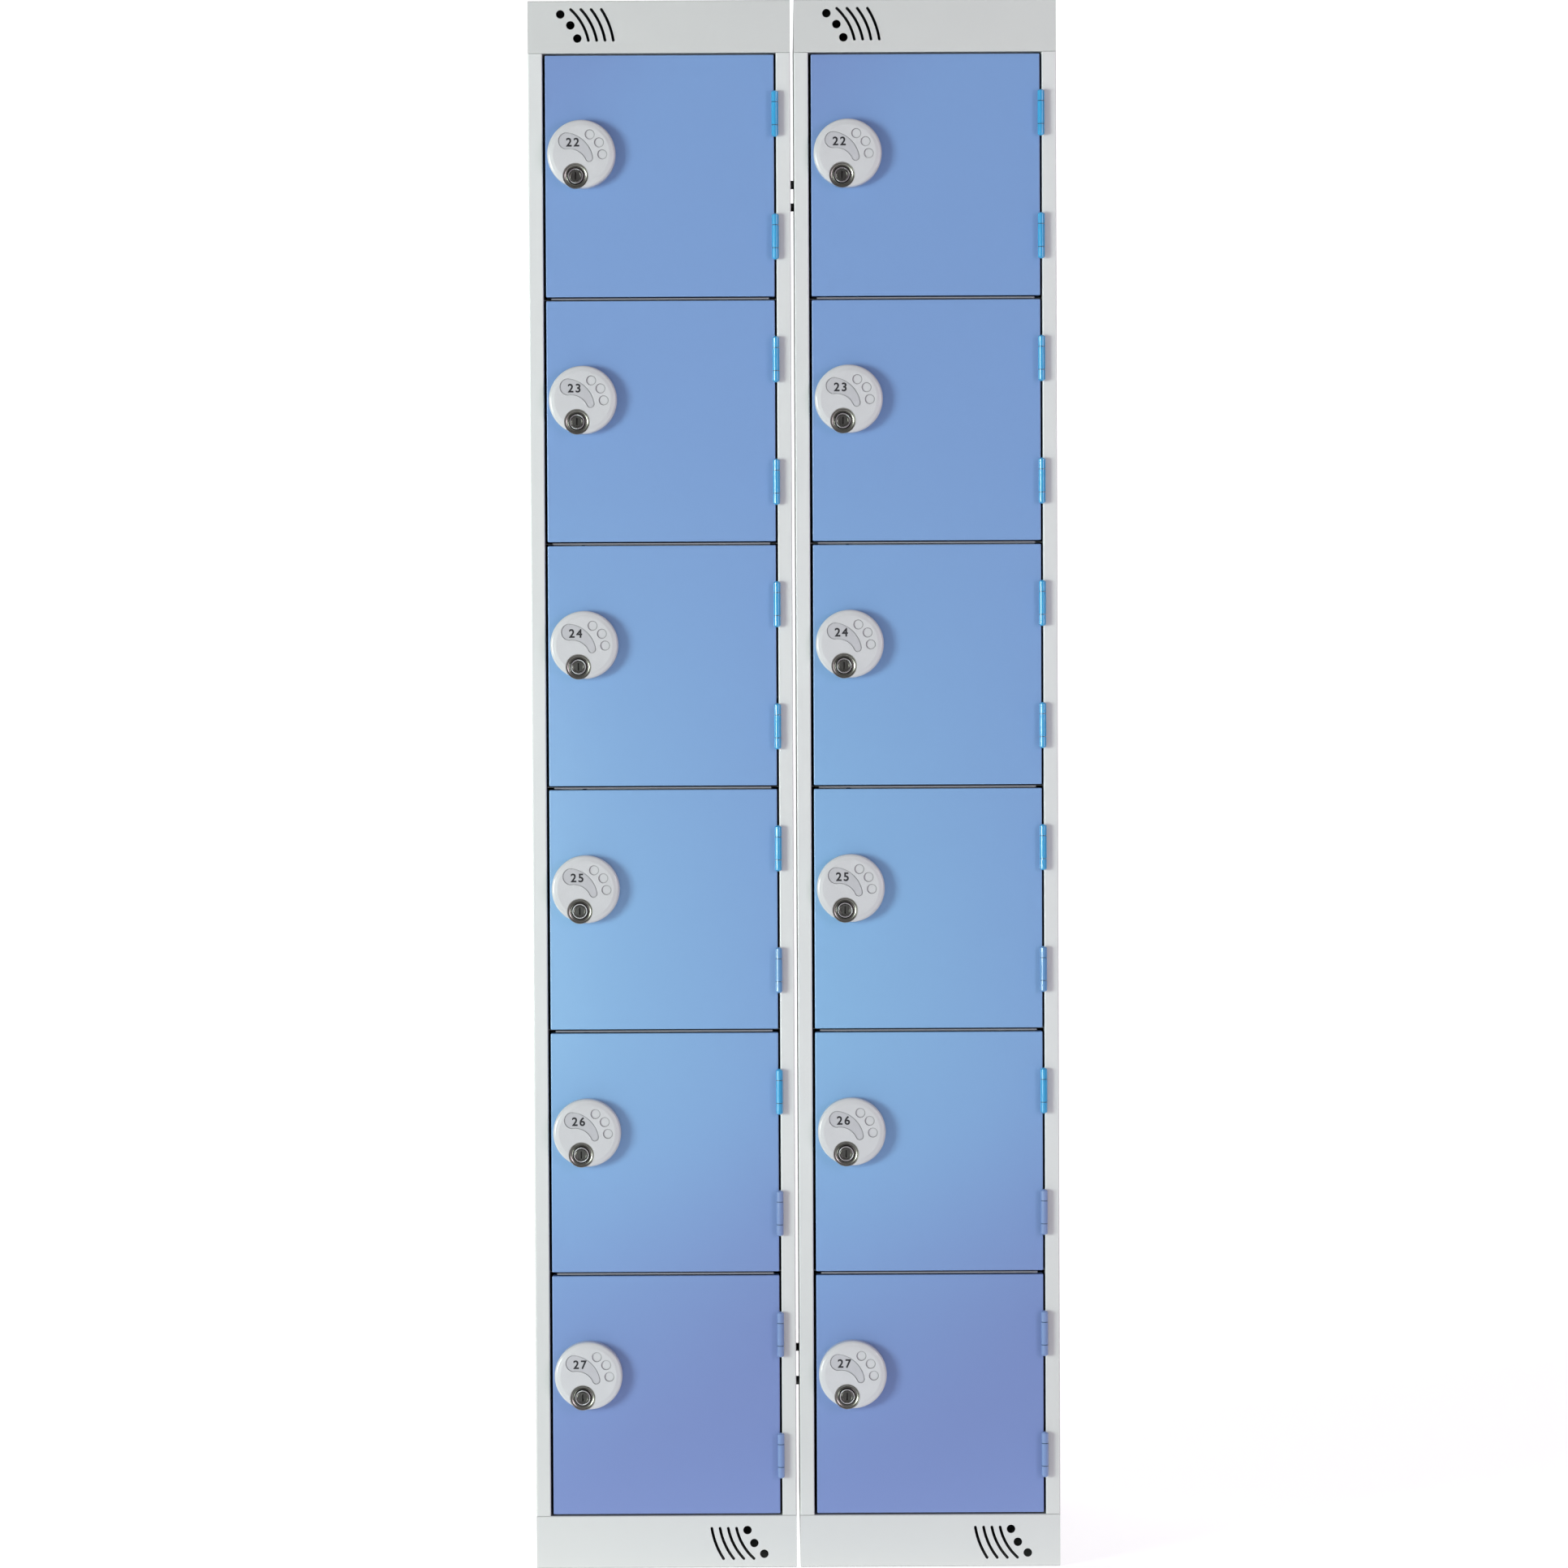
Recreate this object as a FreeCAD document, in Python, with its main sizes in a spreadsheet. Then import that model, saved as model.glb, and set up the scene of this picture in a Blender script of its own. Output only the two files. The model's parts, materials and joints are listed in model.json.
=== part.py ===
import FreeCAD, Part

import math
import os
from types import SimpleNamespace

import Sketcher
from FreeCAD import Placement, Rotation, Vector

# A nest of two steel locker columns, each with six doors one above another.
# +Z is up, the doors face -Y, and +X is to the right when the doors are faced.
# The origin is on the floor, in the middle of the nest, lock covers included.
#
# Each piece is drawn in a frame of its own column: x from the column's left side,
# y from the front face backwards, and z from the floor, or from the foot of a door's row.

COLUMNS = ("a", "b")
ROWS = 6

# The driving dimensions, in millimetres and degrees.
SIZES = {
    # the columns
    "column_width": 300.0,
    "column_height": 1800.0,
    "column_depth": 450.0,
    "column_gap": 4.0,
    "plate": 1.0,
    "fascia": 60.0,
    "stile": 16.5,
    "row_pitch": 280.0,
    "bend": 1.5,
    "seam": 0.3,
    "flange": 15.0,
    # the door stops behind the doors, and the shelves between them
    "stop_depth": 19.5,
    "stop_height": 12.0,
    "tongue_inset": 9.0,
    "shelf_plate": 0.8,
    "shelf_setback": 1.2,
    "shelf_flange": 12.0,
    # the vents of the fascias: round holes, then curved slots that fan out
    "vent_hole_radius": 4.9,
    "vent_slot_width": 3.2,
    "vent_hole_top": 15.5,
    "vent_hole_foot": 43.0,
    "vent_hole_top_x": 37.7,
    "vent_hole_foot_x": 57.0,
    "vent_hole_bow": 2.2,
    "vent_slot_top": 10.0,
    "vent_slot_foot": 45.2,
    "vent_slot_top_x": 49.6,
    "vent_slot_foot_x": 69.6,
    "vent_slot_top_step": 11.7,
    "vent_slot_foot_step": 9.5,
    "vent_slot_bow": 3.2,
    "vent_slot_bow_step": 0.4,
    # the doors
    "door_depth": 18.0,
    "door_lip": 12.0,
    "door_gap_lock": 3.1,
    "door_gap_hinge": 2.4,
    "door_gap_rows": 2.25,
    "door_corner": 1.2,
    # the hinges
    "hinge_forward": 4.4,
    "hinge_radius": 4.0,
    "hinge_spacing": 140.0,
    "hinge_length": 53.0,
    "hinge_middle": 26.0,
    "hinge_dome": 2.0,
    "hinge_play": 0.3,
    "hinge_leaf": 1.0,
    "hinge_leaf_depth": 14.0,
    "pin_radius": 2.0,
    "pin_clearance": 0.06,
    # the rubber buffers
    "buffer_radius": 4.0,
    "buffer_inset": 43.0,
    "buffer_drop": 5.0,
    "buffer_height": 1.3,
    # the round lock covers, from the door's left edge and top edge
    "cover_radius": 39.0,
    "cover_height": 13.5,
    "cover_round": 3.5,
    "cover_inset": 41.7,
    "cover_drop": 113.5,
    "cover_recess_depth": 1.0,
    # the grip dimples, around the middle of the cover
    "dimple_radius": 5.6,
    "dimple_depth": 1.2,
    "dimple_circle": 24.0,
    "dimple_first_angle": 66.0,
    "dimple_pitch_angle": 34.0,
    # the window for the number label, from the middle of the cover
    "label_left": 16.6,
    "label_rise": 14.6,
    "label_radius": 9.6,
    "label_right": 9.0,
    "label_fall": 4.8,
    "label_tip_radius": 4.6,
    "label_bow": 5.2,
    # the cam lock, from the middle of the cover
    "lock_left": 6.7,
    "lock_fall": 25.1,
    "rosette_radius": 14.6,
    "rosette_floor": 7.5,
    "housing_radius": 9.2,
    "housing_front": 12.3,
    "housing_back": 18.6,
    "housing_bore": 7.1,
    "nut_radius": 12.5,
    "nut_depth": 4.5,
    "plug_radius": 6.9,
    "plug_front": 12.6,
    "keyway_width": 1.5,
    "keyway_height": 8.4,
    "keyway_depth": 8.0,
    # the cam behind the door
    "cam_front": 23.5,
    "cam_plate": 3.0,
    "cam_width": 16.0,
    "cam_length": 45.0,
    "cam_tip_width": 12.0,
    "cam_screw_radius": 5.0,
    "cam_screw_height": 3.0,
    # the holes in the side walls, and the fixings that join the two columns
    "nest_hole_radius": 3.25,
    "nest_bolt_radius": 3.0,
    "nest_hole_front": 100.0,
    "nest_hole_spacing_y": 250.0,
    "nest_hole_low": 200.0,
    "nest_hole_spacing_z": 1400.0,
    "nest_spacer_radius": 5.0,
    "nest_head_radius": 5.8,
    "nest_head_height": 4.0,
    "nest_bolt_tail": 1.5,
    "nest_nut_flats": 10.0,
    "nest_nut_height": 5.0,
    # the wall-fixing holes in the backs
    "wall_hole_radius": 4.0,
    "wall_hole_spacing": 150.0,
    "wall_hole_fall": 100.0,
}

VENT_SLOTS = 4
DIMPLES = 3
TINY = 1e-3

doc = FreeCAD.newDocument("SchoolLocker")


class Size:
    """A length, with its value and the sheet expression that it comes from."""

    def __init__(self, value, text):
        self.value = value
        self.text = text

    def __add__(self, other):
        other = sized(other)
        return Size(self.value + other.value, f"({self.text} + {other.text})")

    def __sub__(self, other):
        other = sized(other)
        return Size(self.value - other.value, f"({self.text} - {other.text})")

    def __mul__(self, factor):
        factor = sized(factor)
        return Size(self.value * factor.value, f"({self.text} * {factor.text})")

    def __truediv__(self, divisor):
        divisor = sized(divisor)
        return Size(self.value / divisor.value, f"({self.text} / {divisor.text})")

    def __neg__(self):
        return Size(-self.value, f"(0 - {self.text})")

    def __rsub__(self, other):
        return sized(other) - self


def sized(number):
    return number if isinstance(number, Size) else Size(float(number), f"{number:g}")


def make_sheet():
    """The sheet of driving dimensions, and the same dimensions by name."""
    sheet = doc.addObject("Spreadsheet::Sheet", "Sizes")
    for row, (alias, value) in enumerate(SIZES.items(), start=1):
        sheet.set(f"A{row}", alias)
        sheet.set(f"B{row}", f"{value:g}")
        sheet.setAlias(f"B{row}", alias)
    doc.recompute()
    return SimpleNamespace(**{alias: Size(value, f"Sizes.{alias}") for alias, value in SIZES.items()})


D = make_sheet()

# Places that many pieces share.
OPENING_LEFT = D.stile
OPENING_RIGHT = D.column_width - D.stile
BACK_INNER = D.column_depth - D.plate
STOP_BACK = D.stop_depth + D.plate
DOOR_LEFT = OPENING_LEFT + D.door_gap_lock
DOOR_RIGHT = OPENING_RIGHT - D.door_gap_hinge
DOOR_FOOT = D.door_gap_rows
DOOR_TOP = D.row_pitch - D.door_gap_rows
HINGE_X = OPENING_RIGHT - D.door_gap_hinge / 2
HINGE_Y = -D.hinge_forward
COVER_X = DOOR_LEFT + D.cover_inset
COVER_Z = DOOR_TOP - D.cover_drop
LOCK_X = COVER_X - D.lock_left
LOCK_Z = COVER_Z - D.lock_fall


def bind_place(item, x=0, y=0, z=0):
    for axis, size in zip("xyz", (x, y, z)):
        item.setExpression(f"Placement.Base.{axis}", sized(size).text)


def box(name, x, y, z):
    """A block, with its (start, end) along each axis."""
    item = doc.addObject("Part::Box", name)
    for side, span in zip(("Length", "Width", "Height"), (x, y, z)):
        item.setExpression(side, (sized(span[1]) - span[0]).text)
    bind_place(item, x[0], y[0], z[0])
    return item


# The turns that lay a cylinder or a dome, drawn along +Z, along another axis.
ALONG_X = Rotation(Vector(0, 1, 0), 90)
ALONG_Y = Rotation(Vector(1, 0, 0), -90)
ALONG_Z = Rotation()
HEAD_DOWN = Rotation(Vector(1, 0, 0), 180)


def cylinder(name, turn, radius, length, x=0, y=0, z=0):
    """A cylinder that starts at x, y, z and runs along the axis that turn gives."""
    item = doc.addObject("Part::Cylinder", name)
    item.Placement = Placement(Vector(), turn)
    item.setExpression("Radius", sized(radius).text)
    item.setExpression("Height", sized(length).text)
    bind_place(item, x, y, z)
    return item


def fuse(name, pieces):
    item = doc.addObject("Part::MultiFuse", name)
    item.Shapes = pieces
    item.Refine = True
    return item


def cut(name, base, tools):
    item = doc.addObject("Part::Cut", name)
    item.Base = base
    item.Tool = tools[0] if len(tools) == 1 else group(f"{name}_tools", tools)
    item.Refine = True
    return item


def group(name, pieces, x=0, y=0, z=0):
    """Separate solids under one name, moved together to x, y, z."""
    item = doc.addObject("Part::Compound", name)
    item.Links = pieces
    bind_place(item, x, y, z)
    return item


def round_bends(name, base, radius, wanted):
    """Rounds the long edges for which wanted(middle, direction) holds."""
    doc.recompute()
    edges = []
    for number, edge in enumerate(base.Shape.Edges, start=1):
        if not isinstance(edge.Curve, Part.Line):
            continue
        direction = (edge.Vertexes[-1].Point - edge.Vertexes[0].Point).normalize()
        if wanted(edge.CenterOfMass, direction):
            edges.append((number, radius.value, radius.value))
    item = doc.addObject("Part::Fillet", name)
    item.Base = base
    item.Edges = edges
    return item


def near(a, b):
    return abs(a - sized(b).value) < TINY


# Sketches for the PartDesign bodies.


def new_body(name):
    return doc.addObject("PartDesign::Body", name)


def new_sketch(body, name, role, offset=0):
    """A sketch on one of its body's origin planes, or at an offset from it along its normal."""
    sketch = body.newObject("Sketcher::SketchObject", name)
    plane = next(item for item in body.Origin.OriginFeatures if item.Role == role)
    sketch.AttachmentSupport = [(plane, "")]
    sketch.MapMode = "FlatFace"
    sketch.setExpression("AttachmentOffset.Base.z", sized(offset).text)
    return sketch


def pin_point(sketch, geometry, end, x, y):
    """Ties one point of a sketch to a place from the sheet."""
    for kind, size in (("DistanceX", x), ("DistanceY", y)):
        size = sized(size)
        number = sketch.addConstraint(Sketcher.Constraint(kind, -1, 1, geometry, end, size.value))
        label = f"{kind[-1].lower()}{number}"
        sketch.renameConstraint(number, label)
        sketch.setExpression(f"Constraints.{label}", size.text)


def draw_polygon(sketch, corners):
    """A closed outline of straight lines through corners, each an (x, y) of sizes."""
    first = sketch.GeometryCount
    places = [Vector(sized(x).value, sized(y).value, 0) for x, y in corners]
    for start, end in zip(places, places[1:] + places[:1]):
        sketch.addGeometry(Part.LineSegment(start, end), False)
    for step, (x, y) in enumerate(corners):
        following = first + (step + 1) % len(corners)
        sketch.addConstraint(Sketcher.Constraint("Coincident", first + step, 2, following, 1))
        pin_point(sketch, first + step, 1, x, y)


def draw_rectangle(sketch, left, right, foot, top):
    draw_polygon(sketch, [(left, foot), (right, foot), (right, top), (left, top)])


def draw_circle(sketch, x, y, radius):
    x, y, radius = sized(x), sized(y), sized(radius)
    circle = Part.Circle(Vector(x.value, y.value, 0), Vector(0, 0, 1), radius.value)
    geometry = sketch.addGeometry(circle, False)
    number = sketch.addConstraint(Sketcher.Constraint("Radius", geometry, radius.value))
    sketch.renameConstraint(number, f"radius{number}")
    sketch.setExpression(f"Constraints.radius{number}", radius.text)
    pin_point(sketch, geometry, 3, x, y)


def draw_arcs(sketch, arcs):
    """A closed outline of arcs, each through three points."""
    for start, middle, end in arcs:
        geometry = sketch.addGeometry(Part.Arc(start, middle, end), False)
        sketch.addConstraint(Sketcher.Constraint("Block", geometry))


def feature(body, kind, name, sketch, **settings):
    item = body.newObject(f"PartDesign::{kind}", name)
    item.Profile = sketch
    for key, value in settings.items():
        if isinstance(value, Size):
            item.setExpression(key, value.text)
        else:
            setattr(item, key, value)
    body.Tip = item
    return item


def round_edges(body, name, edges, radius):
    base = body.Tip
    item = body.newObject("PartDesign::Fillet", name)
    item.Base = (base, edges)
    item.setExpression("Radius", radius.text)
    body.Tip = item
    return item


def sagging_arc(start, end, bow):
    """The middle and centre of the arc from start to end that rises by bow on its left side."""
    chord = end - start
    across = Vector(-chord.y, chord.x, 0).normalize()
    half = chord.Length / 2
    radius = (half**2 + bow**2) / (2 * bow)
    middle = start + chord / 2 + across * bow
    centre = middle - across * radius
    return middle, centre


def offset_point(point, centre, distance):
    return point + (point - centre).normalize() * distance


def curved_slot(start, end, bow, start_radius, end_radius):
    """The four arcs around a slot that follows an arc, and may taper from one round end to the other."""
    middle, centre = sagging_arc(start, end, bow)
    half_width = (start_radius + end_radius) / 2
    outer = [
        offset_point(point, centre, distance)
        for point, distance in ((start, start_radius), (middle, half_width), (end, end_radius))
    ]
    inner = [
        offset_point(point, centre, -distance)
        for point, distance in ((end, end_radius), (middle, half_width), (start, start_radius))
    ]
    start_cap = start + (start - middle).normalize() * start_radius
    end_cap = end + (end - middle).normalize() * end_radius
    return [
        tuple(outer),
        (outer[2], end_cap, inner[0]),
        tuple(inner),
        (inner[2], start_cap, outer[0]),
    ]


# The carcass.


def nest_holes(name, x):
    """Tools for the four nesting holes of a side wall that starts at x."""
    holes = []
    for low, z in enumerate((D.nest_hole_low, D.nest_hole_low + D.nest_hole_spacing_z)):
        for deep, y in enumerate((D.nest_hole_front, D.nest_hole_front + D.nest_hole_spacing_y)):
            holes.append(
                cylinder(
                    f"{name}_hole_{low}{deep}",
                    ALONG_X,
                    D.nest_hole_radius,
                    D.plate * 3,
                    x - D.plate,
                    y,
                    z,
                )
            )
    return holes


def make_side(name, across):
    """A side wall folded round the front into a stile and its return, and round the back into a flange.

    across(start, end) turns a span from the outer face inwards into a span along x.
    """
    wall_top = D.column_height - D.plate
    stile_foot, stile_top = D.fascia + D.seam, D.column_height - D.fascia - D.seam
    wall = box(f"{name}_wall", across(0, D.plate), (D.plate, BACK_INNER), (0, wall_top))
    wall_front = box(f"{name}_wall_front", across(0, D.plate), (0, D.plate), (stile_foot, stile_top))
    stile = box(f"{name}_stile", across(0, D.stile), (0, D.plate), (stile_foot, stile_top))
    stile_return = box(
        f"{name}_return", across(D.stile - D.plate, D.stile), (0, STOP_BACK), (stile_foot, stile_top)
    )
    flange = box(
        f"{name}_flange", across(0, D.flange), (BACK_INNER - D.plate, BACK_INNER), (0, wall_top)
    )
    folded = fuse(f"{name}_folded", [wall, wall_front, stile, stile_return, flange])
    outer_x, opening_x = across(0, 0)[0], across(D.stile, D.stile)[0]

    def is_front_bend(middle, direction):
        upright = abs(direction.z) > 0.9
        return upright and near(middle.y, 0) and (near(middle.x, outer_x) or near(middle.x, opening_x))

    rounded = round_bends(f"{name}_rounded", folded, D.bend, is_front_bend)
    return cut(name, rounded, nest_holes(name, across(0, D.plate)[0]))


def make_vent_tool():
    """The vent holes and slots as solids, from the top left corner of a fascia downwards."""
    sketch = doc.addObject("Sketcher::SketchObject", "vent_sketch")
    sketch.Placement = Placement(Vector(0, 0, 0), Rotation(Vector(1, 0, 0), 90))
    top = Vector(D.vent_hole_top_x.value, -D.vent_hole_top.value, 0)
    foot = Vector(D.vent_hole_foot_x.value, -D.vent_hole_foot.value, 0)
    middle, _ = sagging_arc(top, foot, D.vent_hole_bow.value)
    for place in (top, middle, foot):
        draw_circle(sketch, place.x, place.y, D.vent_hole_radius)
    half = D.vent_slot_width.value / 2
    for slot in range(VENT_SLOTS):
        top_x = D.vent_slot_top_x + D.vent_slot_top_step * slot
        foot_x = D.vent_slot_foot_x + D.vent_slot_foot_step * slot
        bow = D.vent_slot_bow - D.vent_slot_bow_step * slot
        top = Vector(top_x.value, -D.vent_slot_top.value, 0)
        foot = Vector(foot_x.value, -D.vent_slot_foot.value, 0)
        draw_arcs(sketch, curved_slot(top, foot, bow.value, half, half))
    tool = doc.addObject("Part::Extrusion", "vent_tool")
    tool.Base = sketch
    tool.DirMode = "Custom"
    tool.Dir = Vector(0, 1, 0)
    tool.Solid = True
    tool.setExpression("LengthFwd", (D.plate * 2).text)
    tool.setExpression("LengthRev", D.plate.text)
    return tool


def make_top(vents):
    """The top sheet, with z down from the column's top: fascia, plate, return, door stop and back flange."""
    inner = (D.plate + D.seam, D.column_width - D.plate - D.seam)
    opening = -D.fascia
    fascia = box("top_fascia", (0, D.column_width), (0, D.plate), (opening, 0))
    plate = box("top_plate", (0, D.column_width), (0, BACK_INNER), (-D.plate, 0))
    turned = box("top_return", inner, (0, STOP_BACK), (opening, opening + D.plate))
    stop = box(
        "top_stop",
        tongue_span(),
        (D.stop_depth, STOP_BACK),
        (opening - D.stop_height, opening + D.plate),
    )
    flange = box(
        "top_flange",
        (D.flange + D.seam, D.column_width - D.flange - D.seam),
        (BACK_INNER - D.plate, BACK_INNER),
        (-D.flange, 0),
    )
    folded = fuse("top_folded", [fascia, plate, turned, stop, flange])

    def is_front_bend(middle, direction):
        level = abs(direction.x) > 0.9
        return level and near(middle.y, 0) and (near(middle.z, 0) or near(middle.z, opening))

    rounded = round_bends("top_rounded", folded, D.bend, is_front_bend)
    return cut("top_sheet", rounded, [vents])


def make_base(vents):
    """The base sheet: plinth fascia, floor plate, foot return and back flange."""
    inner = (D.plate + D.seam, D.column_width - D.plate - D.seam)
    fascia = box("base_fascia", (0, D.column_width), (0, D.plate), (0, D.fascia))
    floor = box("base_floor", inner, (0, BACK_INNER - D.plate - D.seam), (D.fascia - D.plate, D.fascia))
    foot = box("base_foot", inner, (0, STOP_BACK), (0, D.plate))
    flange = box(
        "base_flange",
        (D.flange + D.seam, D.column_width - D.flange - D.seam),
        (BACK_INNER - D.plate * 2 - D.seam, BACK_INNER - D.plate - D.seam),
        (D.fascia - D.flange, D.fascia),
    )
    folded = fuse("base_folded", [fascia, floor, foot, flange])

    def is_front_bend(middle, direction):
        level = abs(direction.x) > 0.9
        return level and near(middle.y, 0)

    rounded = round_bends("base_rounded", folded, D.bend, is_front_bend)
    turned_vents = doc.addObject("Part::Compound", "base_vents")
    turned_vents.Links = [vents]
    turned_vents.Placement = Placement(Vector(), Rotation(Vector(0, 1, 0), 180))
    bind_place(turned_vents, x=D.column_width)
    return cut("base_sheet", rounded, [turned_vents])


def make_back():
    """The back sheet, with its two wall-fixing holes."""
    sheet = box("back_plain", (0, D.column_width), (BACK_INNER, D.column_depth), (0, D.column_height))
    half = D.wall_hole_spacing / 2
    holes = [
        cylinder(
            f"back_hole_{side}",
            ALONG_Y,
            D.wall_hole_radius,
            D.plate * 3,
            x,
            BACK_INNER - D.plate,
            D.column_height - D.wall_hole_fall,
        )
        for side, x in (("left", D.column_width / 2 - half), ("right", D.column_width / 2 + half))
    ]
    return cut("back_sheet", sheet, holes)


def tongue_span():
    """The width between the stiles that the shelf noses and the door stops take up."""
    return OPENING_LEFT + D.tongue_inset, OPENING_RIGHT - D.tongue_inset


def make_shelf():
    """A shelf, with z from the line between two rows: hemmed nose, door stop, plate and flanges."""
    thick = D.shelf_plate
    inner = (D.plate + D.seam, D.column_width - D.plate - D.seam)
    nose_front = D.shelf_setback + thick
    stop_back = D.stop_depth + thick
    wide_front = STOP_BACK + D.plate
    back = BACK_INNER - D.plate - D.seam
    tongue = box("shelf_tongue", tongue_span(), (nose_front, wide_front + thick), (0, thick))
    hem = box("shelf_hem", tongue_span(), (nose_front, stop_back), (-thick, 0))
    stop = box("shelf_stop", tongue_span(), (D.stop_depth, stop_back), (-D.stop_height, 0))
    nose = cylinder(
        "shelf_nose",
        ALONG_X,
        thick,
        tongue_span()[1] - tongue_span()[0],
        tongue_span()[0],
        nose_front,
        0,
    )
    plate = box("shelf_plate", inner, (wide_front, back), (0, thick))
    along = (wide_front + D.flange, back - D.flange)
    between = (D.flange + D.seam, D.column_width - D.flange - D.seam)
    drop = (-D.shelf_flange, 0)
    flanges = [
        box("shelf_flange_left", (inner[0], inner[0] + thick), along, drop),
        box("shelf_flange_right", (inner[1] - thick, inner[1]), along, drop),
        box("shelf_flange_back", between, (back - thick, back), drop),
    ]
    return fuse("shelf_sheet", [tongue, hem, stop, nose, plate] + flanges)


# The hinges. Each half is drawn around the hinge's axis, with its middle at z = 0.


def knuckle(name, foot, top):
    return cylinder(name, ALONG_Z, D.hinge_radius, top - foot, z=foot)


def make_frame_hinge():
    """The half on the stile: a leaf with the two outer knuckles."""
    half_barrel = D.hinge_length / 2 - D.hinge_dome
    half_middle = D.hinge_middle / 2 + D.hinge_play
    leaf_x = (D.door_gap_hinge / 2 - D.hinge_leaf, D.door_gap_hinge / 2)
    leaf_front = D.hinge_radius + D.hinge_play * 2
    leaf_back = D.hinge_forward + D.hinge_leaf_depth
    solids = [box("frame_leaf", leaf_x, (leaf_front, leaf_back), (-half_barrel, half_barrel))]
    for side, foot, top in (("low", -half_barrel, -half_middle), ("high", half_middle, half_barrel)):
        solids.append(knuckle(f"frame_knuckle_{side}", foot, top))
        solids.append(box(f"frame_neck_{side}", leaf_x, (0, leaf_front), (foot, top)))
    bore = cylinder("frame_bore", ALONG_Z, D.pin_radius, D.hinge_length, z=-D.hinge_length / 2)
    return cut("frame_hinge_half", fuse("frame_hinge_solid", solids), [bore])


def make_door_hinge():
    """The half on the door: a leaf with the middle knuckle, which turns on the pin."""
    half_barrel = D.hinge_length / 2 - D.hinge_dome
    half_middle = D.hinge_middle / 2
    leaf_x = (-D.door_gap_hinge / 2, -D.door_gap_hinge / 2 + D.hinge_leaf)
    leaf_front = D.hinge_radius + D.hinge_play * 2
    leaf_back = D.hinge_forward + D.hinge_leaf_depth
    solids = [
        box("door_leaf", leaf_x, (leaf_front, leaf_back), (-half_barrel, half_barrel)),
        box("door_neck", leaf_x, (0, leaf_front), (-half_middle, half_middle)),
        knuckle("door_knuckle", -half_middle, half_middle),
    ]
    radius = D.pin_radius + D.pin_clearance
    bore = cylinder("door_bore", ALONG_Z, radius, D.hinge_length, z=-D.hinge_length / 2)
    return cut("door_hinge_half", fuse("door_hinge_solid", solids), [bore])


def make_hinge_pin():
    """The pin, with a round dome over each end of the barrel."""
    half_barrel = D.hinge_length / 2 - D.hinge_dome
    ball = (D.hinge_radius * D.hinge_radius + D.hinge_dome * D.hinge_dome) / (D.hinge_dome * 2)
    sunk = ball - D.hinge_dome
    solids = [cylinder("pin_rod", ALONG_Z, D.pin_radius, half_barrel * 2, z=-half_barrel)]
    for side, turn, z in (("high", ALONG_Z, half_barrel - sunk), ("low", HEAD_DOWN, sunk - half_barrel)):
        dome = doc.addObject("Part::Sphere", f"pin_dome_{side}")
        dome.Placement = Placement(Vector(), turn)
        dome.setExpression("Radius", ball.text)
        dome.setExpression("Angle1", f"asin({sunk.text} / {ball.text})")
        bind_place(dome, z=z)
        solids.append(dome)
    return fuse("hinge_pin", solids)


# The doors.


def make_door_pan():
    """The folded door: face and four walls, closed in at the back by lips, with the lock's hole."""
    body = new_body("door_pan")
    outline = new_sketch(body, "door_outline", "XZ_Plane")
    draw_rectangle(outline, DOOR_LEFT, DOOR_RIGHT, DOOR_FOOT, DOOR_TOP)
    feature(body, "Pad", "door_block", outline, Length=D.door_depth, Reversed=True)
    doc.recompute()
    bends = [
        f"Edge{number}"
        for number, edge in enumerate(body.Shape.Edges, start=1)
        if edge.BoundBox.YLength > TINY or near(edge.BoundBox.YMax, 0)
    ]
    round_edges(body, "door_bends", bends, D.door_corner)
    mouth = new_sketch(body, "door_mouth_outline", "XZ_Plane", -D.door_depth)
    lip = D.plate + D.door_lip
    draw_rectangle(mouth, DOOR_LEFT + lip, DOOR_RIGHT - lip, DOOR_FOOT + lip, DOOR_TOP - lip)
    feature(body, "Pocket", "door_mouth", mouth, Length=D.door_depth - D.plate, Reversed=True)
    hollow = doc.addObject("PartDesign::SubtractiveBox", "door_hollow")
    body.addObject(hollow)
    walls = D.plate * 2
    hollow.setExpression("Length", (DOOR_RIGHT - DOOR_LEFT - walls).text)
    hollow.setExpression("Width", (D.door_depth - walls).text)
    hollow.setExpression("Height", (DOOR_TOP - DOOR_FOOT - walls).text)
    bind_place(hollow, DOOR_LEFT + D.plate, D.plate, DOOR_FOOT + D.plate)
    body.Tip = hollow
    lock_hole = new_sketch(body, "door_lock_hole", "XZ_Plane", D.plate)
    draw_circle(lock_hole, LOCK_X, LOCK_Z, D.housing_radius + D.hinge_play)
    feature(body, "Pocket", "door_lock_pocket", lock_hole, Length=D.plate * 3)
    return body


# The lock covers and locks, drawn around the cover's or the lock's middle, with y = 0 at the door's face.


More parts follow.
